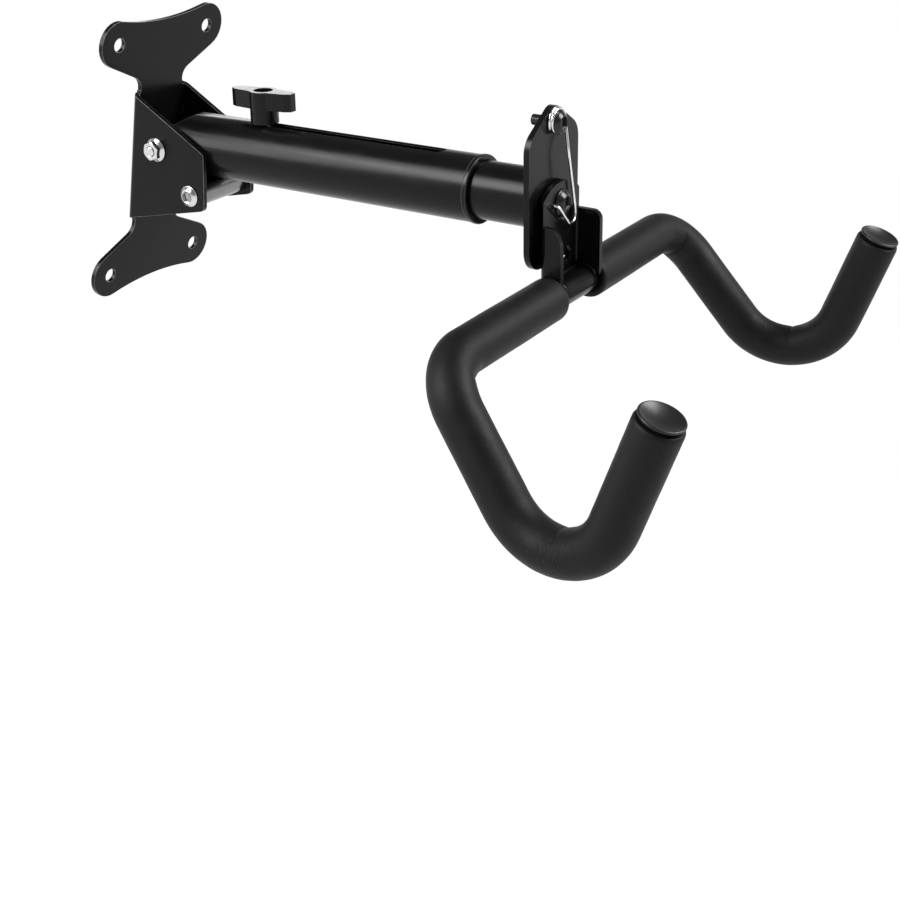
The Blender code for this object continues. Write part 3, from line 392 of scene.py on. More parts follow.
# The moulded plastic's paler edge colour is a painted highlight on its rounds.
moulded = finish("moulded_black", (0.004, 0.0037, 0.0038), 0.2, specular=0.2, stray=0.1,
                 rough_stray=0.03, grain=0.35 * MM, height=0.004 * MM, coarse=5 * MM,
                 edge_tone_and_painted_light=(0.05, 0.048, 0.048))
glossy = finish("glossy_black", (0.006, 0.0056, 0.0058), 0.36, specular=0.42, stray=0.1,
                rough_stray=0.03, grain=2.5 * MM, height=0.004 * MM, coarse=5 * MM)
zinc = finish("bright_zinc", (0.7, 0.7, 0.71), 0.2, metallic=1.0, stray=0.08, rough_stray=0.07,
              grain=0.25 * MM, height=0.004 * MM, coarse=2 * MM)
# Its near-black second colour is painted shade in the bolts' sockets.
oxide = finish("black_oxide_steel", (0.036, 0.035, 0.036), 0.24, metallic=0.85, stray=0.2,
               rough_stray=0.06, grain=0.3 * MM, height=0.004 * MM, coarse=2 * MM,
               edge_tone_and_painted_light=(0.002, 0.002, 0.002))
# Its dark second colour is painted shade in the rest bolt's socket.
socket_zinc = finish("zinc_with_painted_socket_shade", (0.7, 0.7, 0.71), 0.18, metallic=1.0, stray=0.08,
                     rough_stray=0.05, grain=0.4 * MM, height=0.002 * MM, coarse=2 * MM,
                     edge_tone_and_painted_light=(0.03, 0.03, 0.03))
sleeve_zinc = finish("shaded_zinc", (0.24, 0.24, 0.245), 0.2, metallic=1.0, stray=0.1,
                     rough_stray=0.04, grain=3 * MM, height=0.004 * MM, coarse=6 * MM)
wire = finish("bright_spring_wire", (0.86, 0.86, 0.86), 0.2, metallic=1.0, stray=0.04,
              rough_stray=0.04, grain=0.3 * MM, height=0.002 * MM, coarse=3 * MM)

# %% [markdown]
# The foam is a closed-cell sleeve with its own moulded skin. It is matt, with a soft sheen that
# grows towards the outlines, and a grain of tiny pores. Where a bend pulls it, fine wrinkles run
# round the sleeve. They follow the sleeve and not the room, so they read numbers that the sleeve
# carries: how far along it and how far round it a point is, and how strained the skin is there.

# %% The foam's skin
FOAM_DARK = (0.0026, 0.0024, 0.0025)
FOAM_PALE = (0.0042, 0.0039, 0.004)
FOAM_ROUGH = (0.5, 0.6)
PORE = 0.55 * MM
PORE_DEPTH = 0.07 * MM
WRINKLE_WEIGHT = 13.0


def wrinkles(tree):
    """Fine lines across the sleeve, only where its skin is strained."""
    joint = tree.nodes.new("ShaderNodeCombineXYZ")
    tree.links.new(carried(tree, "along"), joint.inputs["X"])
    tree.links.new(carried(tree, "round"), joint.inputs["Y"])
    lines = cloud(tree, joint.outputs[0], 1.0, 2)
    strained = combined(tree, "MULTIPLY", lines, carried(tree, "strain"))
    return combined(tree, "MULTIPLY", strained, WRINKLE_WEIGHT)


def foam_finish():
    """Pores on Object coordinates, and wrinkles on the sleeve's own length."""
    made = bpy.data.materials.new("foam_skin")
    made.use_nodes = True
    tree = made.node_tree
    shader = tree.nodes["Principled BSDF"]
    shader.inputs["Specular IOR Level"].default_value = 0.2
    shader.inputs["Sheen Weight"].default_value = 0.006
    shader.inputs["Sheen Roughness"].default_value = 0.5
    place = tree.nodes.new("ShaderNodeTexCoord").outputs["Object"]
    broad = cloud(tree, place, 11 * MM, 3)
    tree.links.new(tinted(tree, broad, FOAM_DARK, FOAM_PALE), shader.inputs["Base Color"])
    tree.links.new(mapped(tree, broad, CLOUDY, FOAM_ROUGH), shader.inputs["Roughness"])
    pattern = combined(tree, "ADD", cloud(tree, place, PORE, 2), wrinkles(tree))
    relief(tree, shader, pattern, PORE_DEPTH)
    return made


foam = foam_finish()
print("finish", foam.name)

# %% [markdown]
# Every solid gets its finish now, also those that a finer piece will stand for, so that none is left
# bare. The record says which material slot a solid has, and one table says which finish that is.

# %% Dress every solid in its finish
looks = {"black_steel": powder, "black_plastic": moulded, "gloss_plastic": glossy, "foam": foam,
         "zinc": zinc, "black_oxide": oxide, "spring_wire": wire}
slot_of = {entry["node"]: entry["material_slot"] for entry in frame["record"]["subparts"]}
for name, node in nodes.items():
    node.data.materials.clear()
    node.data.materials.append(looks[slot_of[name]])
print("dressed:", len(slot_of), "solids in", len(looks), "finishes")

# %% [markdown]
# ## From a mesh to a piece
# A finished piece needs the same few things each time: smooth shading, its finish, a body to ride on,
# and the solids that it stands for. Its normals are weighted by face size, so a broad flat face stays
# flat up to the small round on its edge.

# %% Helpers that finish a piece
def piece(name, bm, body, slot, *stands_for):
    """Turns a bmesh into a dressed object that rides on a body."""
    made = placed(name, bm)
    made.data.shade_smooth()
    made.data.materials.append(looks[slot])
    made.modifiers.new("even_normals", "WEIGHTED_NORMAL")
    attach(made, body)
    if stands_for:
        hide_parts(*stands_for)
    print("piece %-22s %6d faces" % (name, len(made.data.polygons)))
    return made


def open_edges(bm):
    """How many edges don't have a face on each side. A closed skin has none."""
    return sum(1 for edge in bm.edges if not edge.is_manifold)


# %% [markdown]
# ## Soft edges on the pressed parts
# Real sheet steel has a small round on every cut edge, and the powder makes it rounder still. That
# round is what catches the light as a thin bright line, and a sharp solid can't show it. A Bevel
# modifier could round the edges too, but it couldn't mark the new faces. So each visible solid is
# copied, its loose triangles are merged, its flat faces made whole, and its sharp edges get a narrow
# bevel of two steps, whose faces carry the mark "edge" for a paler colour: the thinner coat there,
# and partly a painted highlight.

# %% A helper that softens a solid
def round_edges(bm, width, segments=2, sharper_than=33):
    """Bevels every edge that is sharper than an angle, and marks the new faces."""
    mark = bm.faces.layers.float.new("edge")
    limit = math.radians(sharper_than)
    sharp = [edge for edge in bm.edges if edge.is_manifold and edge.calc_face_angle(0) > limit]
    made = bmesh.ops.bevel(bm, geom=sharp, offset=width, offset_type="OFFSET", segments=segments,
                           profile=0.5, affect="EDGES", clamp_overlap=True, material=-1)
    # These faces take the paler edge colour, which is partly a painted highlight.
    for face in made["faces"]:
        face[mark] = 1.0


def copied(node):
    """A solid's mesh as a bmesh, with its triangles merged into whole flat faces."""
    bm = bmesh.new()
    bm.from_mesh(nodes[node].data)
    bmesh.ops.remove_doubles(bm, verts=bm.verts, dist=0.004 * MM)
    bmesh.ops.dissolve_limit(bm, angle_limit=math.radians(0.8), verts=bm.verts, edges=bm.edges)
    return bm


def soften(node, width, body, reshape=None):
    """Puts a copy with rounded edges in a solid's place."""
    bm = copied(node)
    if reshape:
        reshape(bm)
    round_edges(bm, width)
    print(node, "open edges:", open_edges(bm))
    return piece("soft_" + node, bm, body, slot_of[node], node)


# %% [markdown]
# In the picture the thick lock plate has the broadest bright edge, the bracket's is finer, and those
# of the tubes are hardly seen, so each part has its own width of round.

# %% The bracket and the arm
for node, width, body in (("wall_bracket", 0.65, "wall"), ("outer_tube", 0.3, "arm"),
                          ("tube_collar", 0.4, "arm"), ("inner_tube", 0.3, "extension"),
                          ("lock_plate", 0.8, "extension"), ("swivel_washer", 0.25, "extension"),
                          ("clip_spacer", 0.25, "extension")):
    soften(node, width * MM, body)
rest_sleeve = soften("rest_sleeve", 0.3 * MM, "wall")
rest_sleeve.data.materials[0] = sleeve_zinc

# %% [markdown]
# The left cheek of the swivel bracket is cut back in one long curve, so that the clip's hairpin can
# be reached from in front. The solid has a small round corner there. A cut would leave new edges to
# clean up, so the corner's own points are spread over the long curve before the edges are softened.

# %% The swivel bracket
CHEEK_INNER_SIDE = -16.9 * MM
CHEEK_TOP = -9 * MM
CHEEK_REACH = 300.5 * MM
CORNER = 5 * MM
CORNER_SLACK = 0.05 * MM
CURVE_BACK = 6.8 * MM
CURVE_DOWN = 12 * MM


def long_cheek_curve(bm):
    """Spreads the left cheek's upper corner over a long curve."""
    moved = 0
    for vert in bm.verts:
        place = ARM.inverted() @ vert.co
        back = -place.y - (CHEEK_REACH - CORNER)
        up = place.z - (CHEEK_TOP - CORNER)
        if place.x < CHEEK_INNER_SIDE and min(back, up) > -CORNER_SLACK:
            angle = math.atan2(back, up)
            out = CHEEK_REACH - CURVE_BACK * (1 - math.sin(angle))
            height = CHEEK_TOP - CURVE_DOWN * (1 - math.cos(angle))
            vert.co = arm(place.x, out, height)
            moved += 1
    print("cheek points moved:", moved)


soften("swivel_bracket", 0.6 * MM, "hooks", reshape=long_cheek_curve)

# %% [markdown]
# The flange nuts are forged and zinc plated: small rounds keep their facets crisp, and the highlights
# run along them.

# %% The flange nuts and the pivot bolt
for node in ("pivot_nut", "rest_nut", "pivot_bolt"):
    soften(node, 0.22 * MM, "wall")

# %% [markdown]
# ## Turned pieces
# Bolts and end caps have one section all round. A cylinder with many bevels would come near, but a
# profile says that section outright. So each is a profile of radius and height, spun about its axis.
# The spin is merged where it closes.

# %% Helpers that turn a profile
def turned(profile, sides):
    """A profile of (radius, height) pairs, spun about +Z."""
    bm = bmesh.new()
    verts = [bm.verts.new((radius, 0, height)) for radius, height in profile]
    edges = [bm.edges.new(pair) for pair in zip(verts, verts[1:])]
    bmesh.ops.spin(bm, geom=verts + edges, axis=(0, 0, 1), angle=math.tau, steps=sides, use_merge=True)
    bmesh.ops.remove_doubles(bm, verts=bm.verts, dist=0.001 * MM)
    bmesh.ops.recalc_face_normals(bm, faces=bm.faces)
    return bm


def bow(radius, start, end, centre, count):
    """Points on an arc of a profile, in degrees from the level."""
    points = []
    for step in range(count + 1):
        angle = math.radians(start + (end - start) * step / count)
        points.append((centre[0] + radius * math.cos(angle), centre[1] + radius * math.sin(angle)))
    return points


# %% [markdown]
# Some skins are round at one height and not at another: a bolt's head has a hexagon socket, and the
# knob has wings on a round boss. Both are made from rings of corners about one axis. A ring is
# extruded, and each of its new corners keeps its direction and moves to where an outline says.

# %% Helpers for skins made of rings
def extruded(bm, edges):
    """Extrudes a ring of edges, and gives the new ring's corners and edges."""
    made = bmesh.ops.extrude_edge_only(bm, edges=edges)["geom"]
    verts = {item for item in made if isinstance(item, bmesh.types.BMVert)}
    ring = [item for item in made if isinstance(item, bmesh.types.BMEdge) and set(item.verts) <= verts]
    return verts, ring


def next_ring(bm, edges, place):
    """Extrudes a ring of edges and puts each new corner where place(angle) says."""
    verts, ring = extruded(bm, edges)
    for vert in verts:
        vert.co = place(math.atan2(vert.co.y, vert.co.x))
    return ring


def outline(reach, height):
    """A ring at a height, as far from the axis in each direction as reach(angle) says."""
    return lambda angle: Vector((math.cos(angle), math.sin(angle), 0)) * reach(angle) + Vector((0, 0, height))


def circle(radius, height):
    """A ring on a circle."""
    return outline(lambda angle: radius, height)


# %% [markdown]
# A button head is a low dome with a hexagon socket. The dome is turned up to the socket's mouth, and
# the mouth's ring is then extruded: first onto the hexagon, then down its walls. The floor is filled
# in last. The faces of the socket carry the mark "edge", for a shade painted dark inside.

# %% A button bolt
SOCKET_FLATS = 6.6 * MM
SOCKET_DEPTH = 2.6 * MM
SOCKET_LIP = 0.12 * MM
BOLT_SIDES = 48


def hexagon_reach(angle):
    """How far the socket's wall is from the axis, in one direction."""
    sixth = math.radians(60)
    return SOCKET_FLATS / 2 / math.cos((angle + sixth / 2) % sixth - sixth / 2)


def dome(shank, head_radius, head_height, length):
    """The open profile of a button bolt, from the axis at its point up to the socket's mouth."""
    point = shank / 5
    mouth = SOCKET_FLATS / 2 / math.cos(math.radians(30)) + SOCKET_LIP
    foot = 0.35 * MM
    bulge = (head_radius ** 2 - head_height ** 2) / (2 * head_height)
    crown = bulge + head_height
    start = math.degrees(math.acos(head_radius / math.hypot(head_radius, bulge)))
    end = math.degrees(math.acos(mouth / crown))
    profile = [(0, -length), (shank - point, -length), (shank, point - length), (shank, 0)]
    profile += [(head_radius - foot, 0), (head_radius - foot / 4, foot / 4), (head_radius, foot)]
    profile += bow(crown, start, end, (0, -bulge), 12)[1:]
    return profile


def button_bolt(shank, head_radius, head_height, length):
    """A button bolt about +Z, its head above height 0, with its socket sunk by extrusion."""
    bm = turned(dome(shank, head_radius, head_height, length), BOLT_SIDES)
    hollow = bm.faces.layers.float.new("edge")
    rim = [edge for edge in bm.edges if edge.is_boundary]
    top = max(edge.verts[0].co.z for edge in rim)
    rim = next_ring(bm, rim, outline(hexagon_reach, top - SOCKET_LIP))
    rim = next_ring(bm, rim, outline(hexagon_reach, head_height - SOCKET_DEPTH))
    bmesh.ops.holes_fill(bm, edges=rim)
    bmesh.ops.recalc_face_normals(bm, faces=bm.faces)
    # The socket's faces are marked for the painted shade inside.
    for face in bm.faces:
        middle = face.calc_center_median()
        inside = math.hypot(middle.x, middle.y) < SOCKET_FLATS / 2 + 0.4 * MM
        if inside and 0 < middle.z < top - 0.1 * MM:
            face[hollow] = 1.0
    return bm


print("socket: %.1f mm across its flats" % (SOCKET_FLATS / MM))

# %% [markdown]
# Only the clip bolt's thread is in view, behind the lock plate. Rings pushed onto a shank would look
# right from afar, but a thread climbs. So it is a zigzag spun about the axis, which rises by one pitch
# in each turn, and is cut flat at both ends.

# %% A thread
THREAD_CREST = (0.42, 0.58)


def thread(radius, depth, pitch, low, high):
    """A screw thread about +Z between two heights."""
    turns = math.ceil((high - low) / pitch) + 2
    profile = []
    for turn in range(turns + 1):
        base = low + (turn - 1.5) * pitch
        profile.append((radius - depth, base))
        profile += [(radius, base + share * pitch) for share in THREAD_CREST]
    bm = bmesh.new()
    verts = [bm.verts.new((across, 0, height)) for across, height in profile]
    edges = [bm.edges.new(pair) for pair in zip(verts, verts[1:])]
    bmesh.ops.spin(bm, geom=verts + edges, axis=(0, 0, 1), angle=math.tau, steps=BOLT_SIDES,
                   dvec=(0, 0, pitch / BOLT_SIDES))
    bmesh.ops.remove_doubles(bm, verts=bm.verts, dist=0.005 * MM)
    for height, side in ((low, -1), (high, 1)):
        everything = list(bm.verts) + list(bm.edges) + list(bm.faces)
        cut = bmesh.ops.bisect_plane(bm, geom=everything, plane_co=(0, 0, height), plane_no=(0, 0, side),
                                     clear_outer=True)
        loop = [item for item in cut["geom_cut"] if isinstance(item, bmesh.types.BMEdge)]
        bmesh.ops.holes_fill(bm, edges=loop)
    bmesh.ops.recalc_face_normals(bm, faces=bm.faces)
    return bm


def merged(first, second):
    """Two closed shells kept in one bmesh."""
    holder = bpy.data.meshes.new("holder")
    second.to_mesh(holder)
    second.free()
    first.from_mesh(holder)
    bpy.data.meshes.remove(holder)
    return first


# %% [markdown]
# Three button bolts are in view. The upper one holds the clip, the one below it is the hooks' swivel,
# and both look out along the arm. The third holds the sleeve that the arm rests on. It looks to the
# left, out of the bracket's near flange, and it is zinc plated.

# %% The three button bolts
PLATE_FRONT = 285 * MM
WEB_FRONT = 289.7 * MM
CLIP_UP = 43 * MM
CLIP_HEAD = 288 * MM
SEAT_GAP = 0.3 * MM
FLANGE_SEAT = 23.5 * MM
REST = arm(0, 46 * MM, -26.9 * MM)

clip_bolt = button_bolt(shank=2.5 * MM, head_radius=6.8 * MM, head_height=3.9 * MM, length=15.4 * MM)
clip_thread = thread(radius=3 * MM, depth=0.42 * MM, pitch=1 * MM, low=-16 * MM, high=-6.6 * MM)
clip_bolt = merged(clip_bolt, clip_thread)
clip_bolt.transform(facing(OUT, arm(0, CLIP_HEAD, CLIP_UP)))
piece("threaded_clip_bolt", clip_bolt, "extension", "black_oxide", "clip_bolt")

swivel_bolt = button_bolt(shank=4 * MM, head_radius=7.3 * MM, head_height=4.2 * MM, length=15.2 * MM)
swivel_bolt.transform(facing(OUT, arm(0, WEB_FRONT + SEAT_GAP, 0)))
piece("button_swivel_bolt", swivel_bolt, "extension", "black_oxide", "swivel_bolt")

rest_bolt = button_bolt(shank=3 * MM, head_radius=6.4 * MM, head_height=3.4 * MM, length=52.4 * MM)
rest_bolt.transform(facing((-1, 0, 0), Vector((-FLANGE_SEAT, REST.y, REST.z))))
rest_piece = piece("button_rest_bolt", rest_bolt, "wall", "zinc", "rest_bolt")
rest_piece.data.materials[0] = socket_zinc

# %% [markdown]
# The clamp knob is moulded: a round boss under two wings that widen from their tips until they meet
# the boss, with a deep round recess in the top. A block joined to a cylinder would leave a seam that
# can't be rounded well. So it is one skin of rings, like the bolt's head: some rings are circles and
# some follow the wings' outline. A mould needs generous rounds, so its edges get a wider bevel of
# three steps.

# %% The clamp knob's skin
BOSS = 8.5 * MM
BOSS_FOOT = BOSS - 0.1 * MM
WING_TIP = (2.3 * MM, 21.4 * MM)
WING_CORNER = (4.3 * MM, 17.8 * MM)
WING_ROOT = (5.9 * MM, 6.12 * MM)
WING_HEIGHT = 10.6 * MM
RECESS_MOUTH = 5.7 * MM
RECESS_FLOOR = 5.4 * MM
RECESS_DEPTH = 5 * MM


def wing_reach(angle):
    """How far the wings' outline is from the knob's axis, in one direction."""
    side, far = abs(math.cos(angle)), abs(math.sin(angle))
    for first, last in ((WING_ROOT, WING_CORNER), (WING_CORNER, WING_TIP)):
        if first[0] * far >= first[1] * side - 1e-9 and last[0] * far <= last[1] * side + 1e-9:
            cross = (last[0] - first[0]) * far - (last[1] - first[1]) * side
            return ((last[0] - first[0]) * first[1] - (last[1] - first[1]) * first[0]) / cross
    return BOSS if side * WING_ROOT[1] > far * WING_ROOT[0] else WING_TIP[1] / far


def knob_angles():
    """Even directions, and those of the outline's corners."""
    found = {round(math.radians(5 * step), 6) for step in range(72)}
    for across, along in (WING_ROOT, WING_CORNER, WING_TIP):
        corner = math.atan2(along, across)
        found |= {round(way % math.tau, 6) for way in (corner, -corner, math.pi - corner, math.pi + corner)}
    kept = []
    for angle in sorted(found):
        if not kept or angle - kept[-1] > 0.012:
            kept.append(angle)
    return kept


def knob_skin(height):
    """The knob as one closed skin, standing on height 0."""
    underside = height - WING_HEIGHT
    bm = bmesh.new()
    start = circle(BOSS_FOOT, 0)
    verts = [bm.verts.new(start(angle)) for angle in knob_angles()]
    foot = [bm.edges.new(pair) for pair in zip(verts, verts[1:] + verts[:1])]
    rim = foot
    for place in (circle(BOSS_FOOT, underside), outline(wing_reach, underside), outline(wing_reach, height),
                  circle(RECESS_MOUTH, height), circle(RECESS_FLOOR, height - RECESS_DEPTH)):
        rim = next_ring(bm, rim, place)
    bmesh.ops.holes_fill(bm, edges=foot + rim)
    bmesh.ops.recalc_face_normals(bm, faces=bm.faces)
    return bm


print("knob outline:", len(knob_angles()), "corners in each ring")

# %% The clamp knob
KNOB_OUT = 89 * MM
KNOB_TURN = math.radians(2)

knob_heights = [(ARM.inverted() @ vert.co).z for vert in nodes["clamp_knob"].data.vertices]
knob_seat = min(knob_heights)
knob_bm = knob_skin(max(knob_heights) - knob_seat)
round_edges(knob_bm, 0.55 * MM, 3)
knob_bm.transform(Matrix.Translation(arm(0, KNOB_OUT, knob_seat)) @ ARM @ Matrix.Rotation(KNOB_TURN, 4, "Z"))
print("knob open edges:", open_edges(knob_bm))
piece("moulded_clamp_knob", knob_bm, "knob", "black_plastic", "clamp_knob")

# %% [markdown]
# ## Bars along a path
# The wire clip, the hook bar, the foam and the weld beads are all a round section drawn along a bent
# line. A curve with a round bevel would give the same, but the foam also has to know how far along
# and round it each point is. So the helper starts with a circle, extrudes its edges from station to
# station, and turns each ring square to the line, without twist. The line itself is straight runs
# joined by arcs, cut into short even steps.

# %% Helpers for a bent line
def walk(points, goal, pitch):
    """Adds even steps from the last point to a goal."""
    start = points[-1].copy()
    count = max(1, round((goal - start).length / pitch))
    for part in range(1, count + 1):
        points.append(start.lerp(goal, part / count))


def bent_path(corners, radii, pitch):
    """Points about a pitch apart along straight runs that are joined by arcs."""
    points = [corners[0].copy()]
    for index in range(1, len(corners) - 1):
        here = corners[index]
        before = (corners[index - 1] - here).normalized()
        after = (corners[index + 1] - here).normalized()
        half = before.angle(after) / 2
        middle = here + (before + after).normalized() * radii[index] / math.sin(half)
        first = here + before * radii[index] / math.tan(half) - middle
        last = here + after * radii[index] / math.tan(half) - middle
        sweep = first.angle(last)
        count = max(6, round(sweep * radii[index] / pitch))
        axis = first.cross(last).normalized()
        walk(points, middle + first, pitch)
        for part in range(1, count + 1):
            points.append(middle + Matrix.Rotation(sweep * part / count, 3, axis) @ first)
    walk(points, corners[-1], pitch)
    return points


def stations(points, upward):
    """A frame for each point: where it is, two directions across the line, and how far along it is."""
    rows = []
    across = Vector(upward)
    length = 0.0
    for index, point in enumerate(points):
        before = points[max(index - 1, 0)]
        after = points[min(index + 1, len(points) - 1)]
        along = (after - before).normalized()
        across = (across - along * along.dot(across)).normalized()
        if index:
            length += (point - points[index - 1]).length
        rows.append((point, across.copy(), along.cross(across), length))
    return rows


# %% Helpers for a bar
def bar_mesh():
    """An empty bmesh whose points can say how far round and along a bar they are."""
    bm = bmesh.new()
    bm.verts.layers.float.new("round")
    bm.verts.layers.float.new("along")
    return bm


def ring_of(bm, station, radius, sides, last=None):
    """The first ring of a bar, or the next one, extruded from the last ring's edges."""
    point, across, sideways, length = station
    turn = bm.verts.layers.float["round"]
    far = bm.verts.layers.float["along"]
    if last is None:
        verts = bmesh.ops.create_circle(bm, segments=sides, radius=1)["verts"]
        for vert in verts:
            vert[turn] = math.atan2(vert.co.y, vert.co.x)
        edges = list(bm.edges)
    else:
        verts, edges = extruded(bm, last)
    for vert in verts:
        vert.co = point + (across * math.cos(vert[turn]) + sideways * math.sin(vert[turn])) * radius
        vert[far] = length
    return edges


def drawn_bar(rows, radii, sides):
    """A round bar along its stations, with one radius for each, closed at both ends."""
    bm = bar_mesh()
    edges = None
    for row, radius in zip(rows, radii):
        edges = ring_of(bm, row, radius, sides, edges)
    bmesh.ops.holes_fill(bm, edges=[edge for edge in bm.edges if edge.is_boundary])
    bmesh.ops.recalc_face_normals(bm, faces=bm.faces)
    return bm


# %% [markdown]
# The wire clip is one length of spring wire. It lies in a coil of a turn and a half behind the bolt
# head, runs down in front of the plates, turns back in a hairpin, and hooks its tip through both
# plates. The coil's second strand lies over the first and is drawn in at the bottom, behind the
# bolt's head. A plain helix can't do that, so its radius and height change smoothly with the angle.
# The wire's ends are cut square with a small round.

# %% The wire clip's line
WIRE = 0.8 * MM
COIL_SWEEP = 565
COIL_STEPS = 96
COIL_RADIUS = 7.6 * MM
COIL_NARROWS = 0.5 * MM
COIL_TUCK = 1.3 * MM
FIRST_STRAND = 0.85 * MM
STRAND_STEP = 1.4 * MM


def eased(value, low, high):
    """0 below low, 1 above high, and smooth between."""
    part = min(1, max(0, (value - low) / (high - low)))
    return part * part * (3 - 2 * part)


def bump_at(distance, width):
    """A smooth hump of height 1 at distance 0."""
    return math.exp(-(distance / width) ** 2)


def coil_point(angle):
    """The coil's centre line at an angle in degrees, which falls from the free end to the leg."""
    radius = COIL_RADIUS - COIL_NARROWS * eased(-angle, -420, -300) - COIL_TUCK * bump_at(angle - 250, 38)
    out = PLATE_FRONT + FIRST_STRAND + STRAND_STEP * eased(-angle, -385, -290)
    across = 0.3 * MM + radius * math.cos(math.radians(angle))
    up = CLIP_UP + 0.4 * MM + radius * math.sin(math.radians(angle))
    return arm(across, out, up)


def wire_line():
    """The clip's centre line, from the coil's free end to the tip."""
    coil = [coil_point(COIL_SWEEP * (1 - step / COIL_STEPS)) for step in range(COIL_STEPS + 1)]
    leg_bend = arm(4.7 * MM, 291 * MM, 26 * MM)
    hairpin = arm(14.5 * MM, 292.4 * MM, -23.4 * MM)
    crest = arm(-10.8 * MM, 293.7 * MM, 1.0 * MM)
    tip = arm(-10 * MM, 282.4 * MM, 0.1 * MM)
    bends = [0, 20 * MM, 5.6 * MM, 2.2 * MM, 0]
    return coil[:-1] + bent_path([coil[-1], leg_bend, hairpin, crest, tip], bends, 0.7 * MM)


# %% The wire clip
END_SHARES = [0.45, 0.8, 0.95]

wire_rows = stations(wire_line(), (1, 0, 0))
shares = END_SHARES + [1] * (len(wire_rows) - 2 * len(END_SHARES)) + END_SHARES[::-1]
clip_bm = drawn_bar(wire_rows, [WIRE * share for share in shares], 16)
piece("spring_clip", clip_bm, "clip", "spring_wire", "wire_clip")
print("the clip takes %.0f mm of wire" % (wire_rows[-1][3] / MM))

# %% [markdown]
# ## The hooks
# One steel tube is bent into the cross bar and both hooks, and a foam sleeve is pushed over each
# side. Both follow the same line as the solids. The bar only shows between the sleeves, but it is
# drawn whole, because it carries the sleeves' shape.

# %% The hooks' line
BAR = 8 * MM
BAR_MIDDLE = arm(0, 294.4 * MM, -47.5 * MM)
BAR_HALF = 130 * MM
SHOULDER_RADIUS = 28 * MM
LEG = 135 * MM
LEG_DROP = math.radians(51.9)
LEG_SPLAY = math.radians(7.6)
CRADLE_RADIUS = 35.4 * MM
TIP_RISE = math.radians(69.9)
TIP_LENGTHS = {-1: 124.8 * MM, 1: 121 * MM}
TIP_WAY = arm(0, math.cos(TIP_RISE), math.sin(TIP_RISE))
CAP = 3 * MM
BAR_PITCH = 2.5 * MM


def hook_line(side, start, pitch):
    """One hook's centre line, from a distance beside the middle of the bar to the cap's seat."""
    shoulder = BAR_MIDDLE + Vector((side * BAR_HALF, 0, 0))
    level = math.cos(LEG_SPLAY)
    leg = arm(side * math.sin(LEG_SPLAY), math.cos(LEG_DROP) * level, -math.sin(LEG_DROP) * level)
    cradle = shoulder + leg * LEG
    tip = cradle + TIP_WAY * (TIP_LENGTHS[side] - CAP - SEAT_GAP)
    corners = [BAR_MIDDLE + Vector((side * start, 0, 0)), shoulder, cradle, tip]
    return bent_path(corners, [0, SHOULDER_RADIUS, CRADLE_RADIUS, 0], pitch)


left_half = hook_line(-1, 0, BAR_PITCH)
right_half = hook_line(1, 0, BAR_PITCH)
bar_rows = stations(left_half[:0:-1] + right_half, (0, 0, 1))
piece("round_hook_bar", drawn_bar(bar_rows, [BAR] * len(bar_rows), 40), "hooks", "black_steel", "hook_bar")

# %% [markdown]
# The foam sleeve was straight when it was pushed on. Round each bend its inner side is squeezed: its
# two straight sides meet in a crease in the middle of the bend, and its skin wrinkles. A cloth
# simulation would let such a stiff sleeve sag, and sculpting can't be repeated. So the relief is
# worked out from the bend itself: how tight it is at each station, and which way is inwards.

# %% Where the sleeve bends
FOAM = 12.2 * MM
BENT = 8


def bend_at(rows, index):
    """How the line bends at a station: a vector that points inwards, in radians per metre."""
    before = rows[max(index - 2, 0)]
    after = rows[min(index + 2, len(rows) - 1)]
    here = rows[index]
    first = here[0] - before[0]
    last = after[0] - here[0]
    if first.length < 1e-7 or last.length < 1e-7:
        return Vector((0, 0, 0))
    return (last.normalized() - first.normalized()) / (after[3] - before[3]) * 2


def folds_of(rows):
    """Where along the sleeve the middle of each bend is."""
    bends = [bend_at(rows, index).length for index in range(len(rows))]
    middles = []
    start = None
    for index, bend in enumerate(bends):
        if bend > BENT and start is None:
            start = index
        if bend <= BENT and start is not None:
            middles.append((rows[start][3] + rows[index][3]) / 2)
            start = None
    return middles


def inward_way(bends, rows, fold):
    """The way inwards at the station nearest to a fold."""
    index = min(range(len(rows)), key=lambda k: abs(rows[k][3] - fold))
    return bends[index].normalized()


# %% [markdown]
# The crease comes from the sleeve's two straight sides, which run on towards each other inside the
# bend. At the shoulder they meet deeply, and in the wider cradle only lightly. The wrinkles are the
# other way round: many in the cradle, few at the shoulder. Their strength fades out along the sleeve,
# since a sudden end would draw a line on the foam.

# %% The foam's relief
FOLD_INSIDE = SHOULDER_RADIUS - FOAM
FOLD_HALF_ANGLE = math.radians(24)
FOLD_DEPTHS = (1.0, 0.35)
CREASE_DEPTH = 1.0 * MM
CREASE_WIDTH = 0.9 * MM
STRAINED = ((20 * MM, 0.3), (37 * MM, 1.0))
WRINKLE_PITCH = 1.3 * MM
WRINKLES_ROUND = 3


def notch_at(angle):
    """How deep the skin is drawn in where two straight sides meet over a bend's inner arc."""
    return FOLD_INSIDE * (1 / math.cos(max(0, FOLD_HALF_ANGLE - abs(angle))) - 1)


def fold_at(away):
    """How deep a whole fold is, at a distance along the sleeve from its middle."""
    return notch_at(away / SHOULDER_RADIUS) + CREASE_DEPTH * bump_at(away, CREASE_WIDTH)


def strain_at(length, folds):
    """How strained the skin is by the bends at a distance along the sleeve."""
    return max(share * (1 - eased(abs(length - fold), reach * 0.35, reach))
               for fold, (reach, share) in zip(folds, STRAINED))


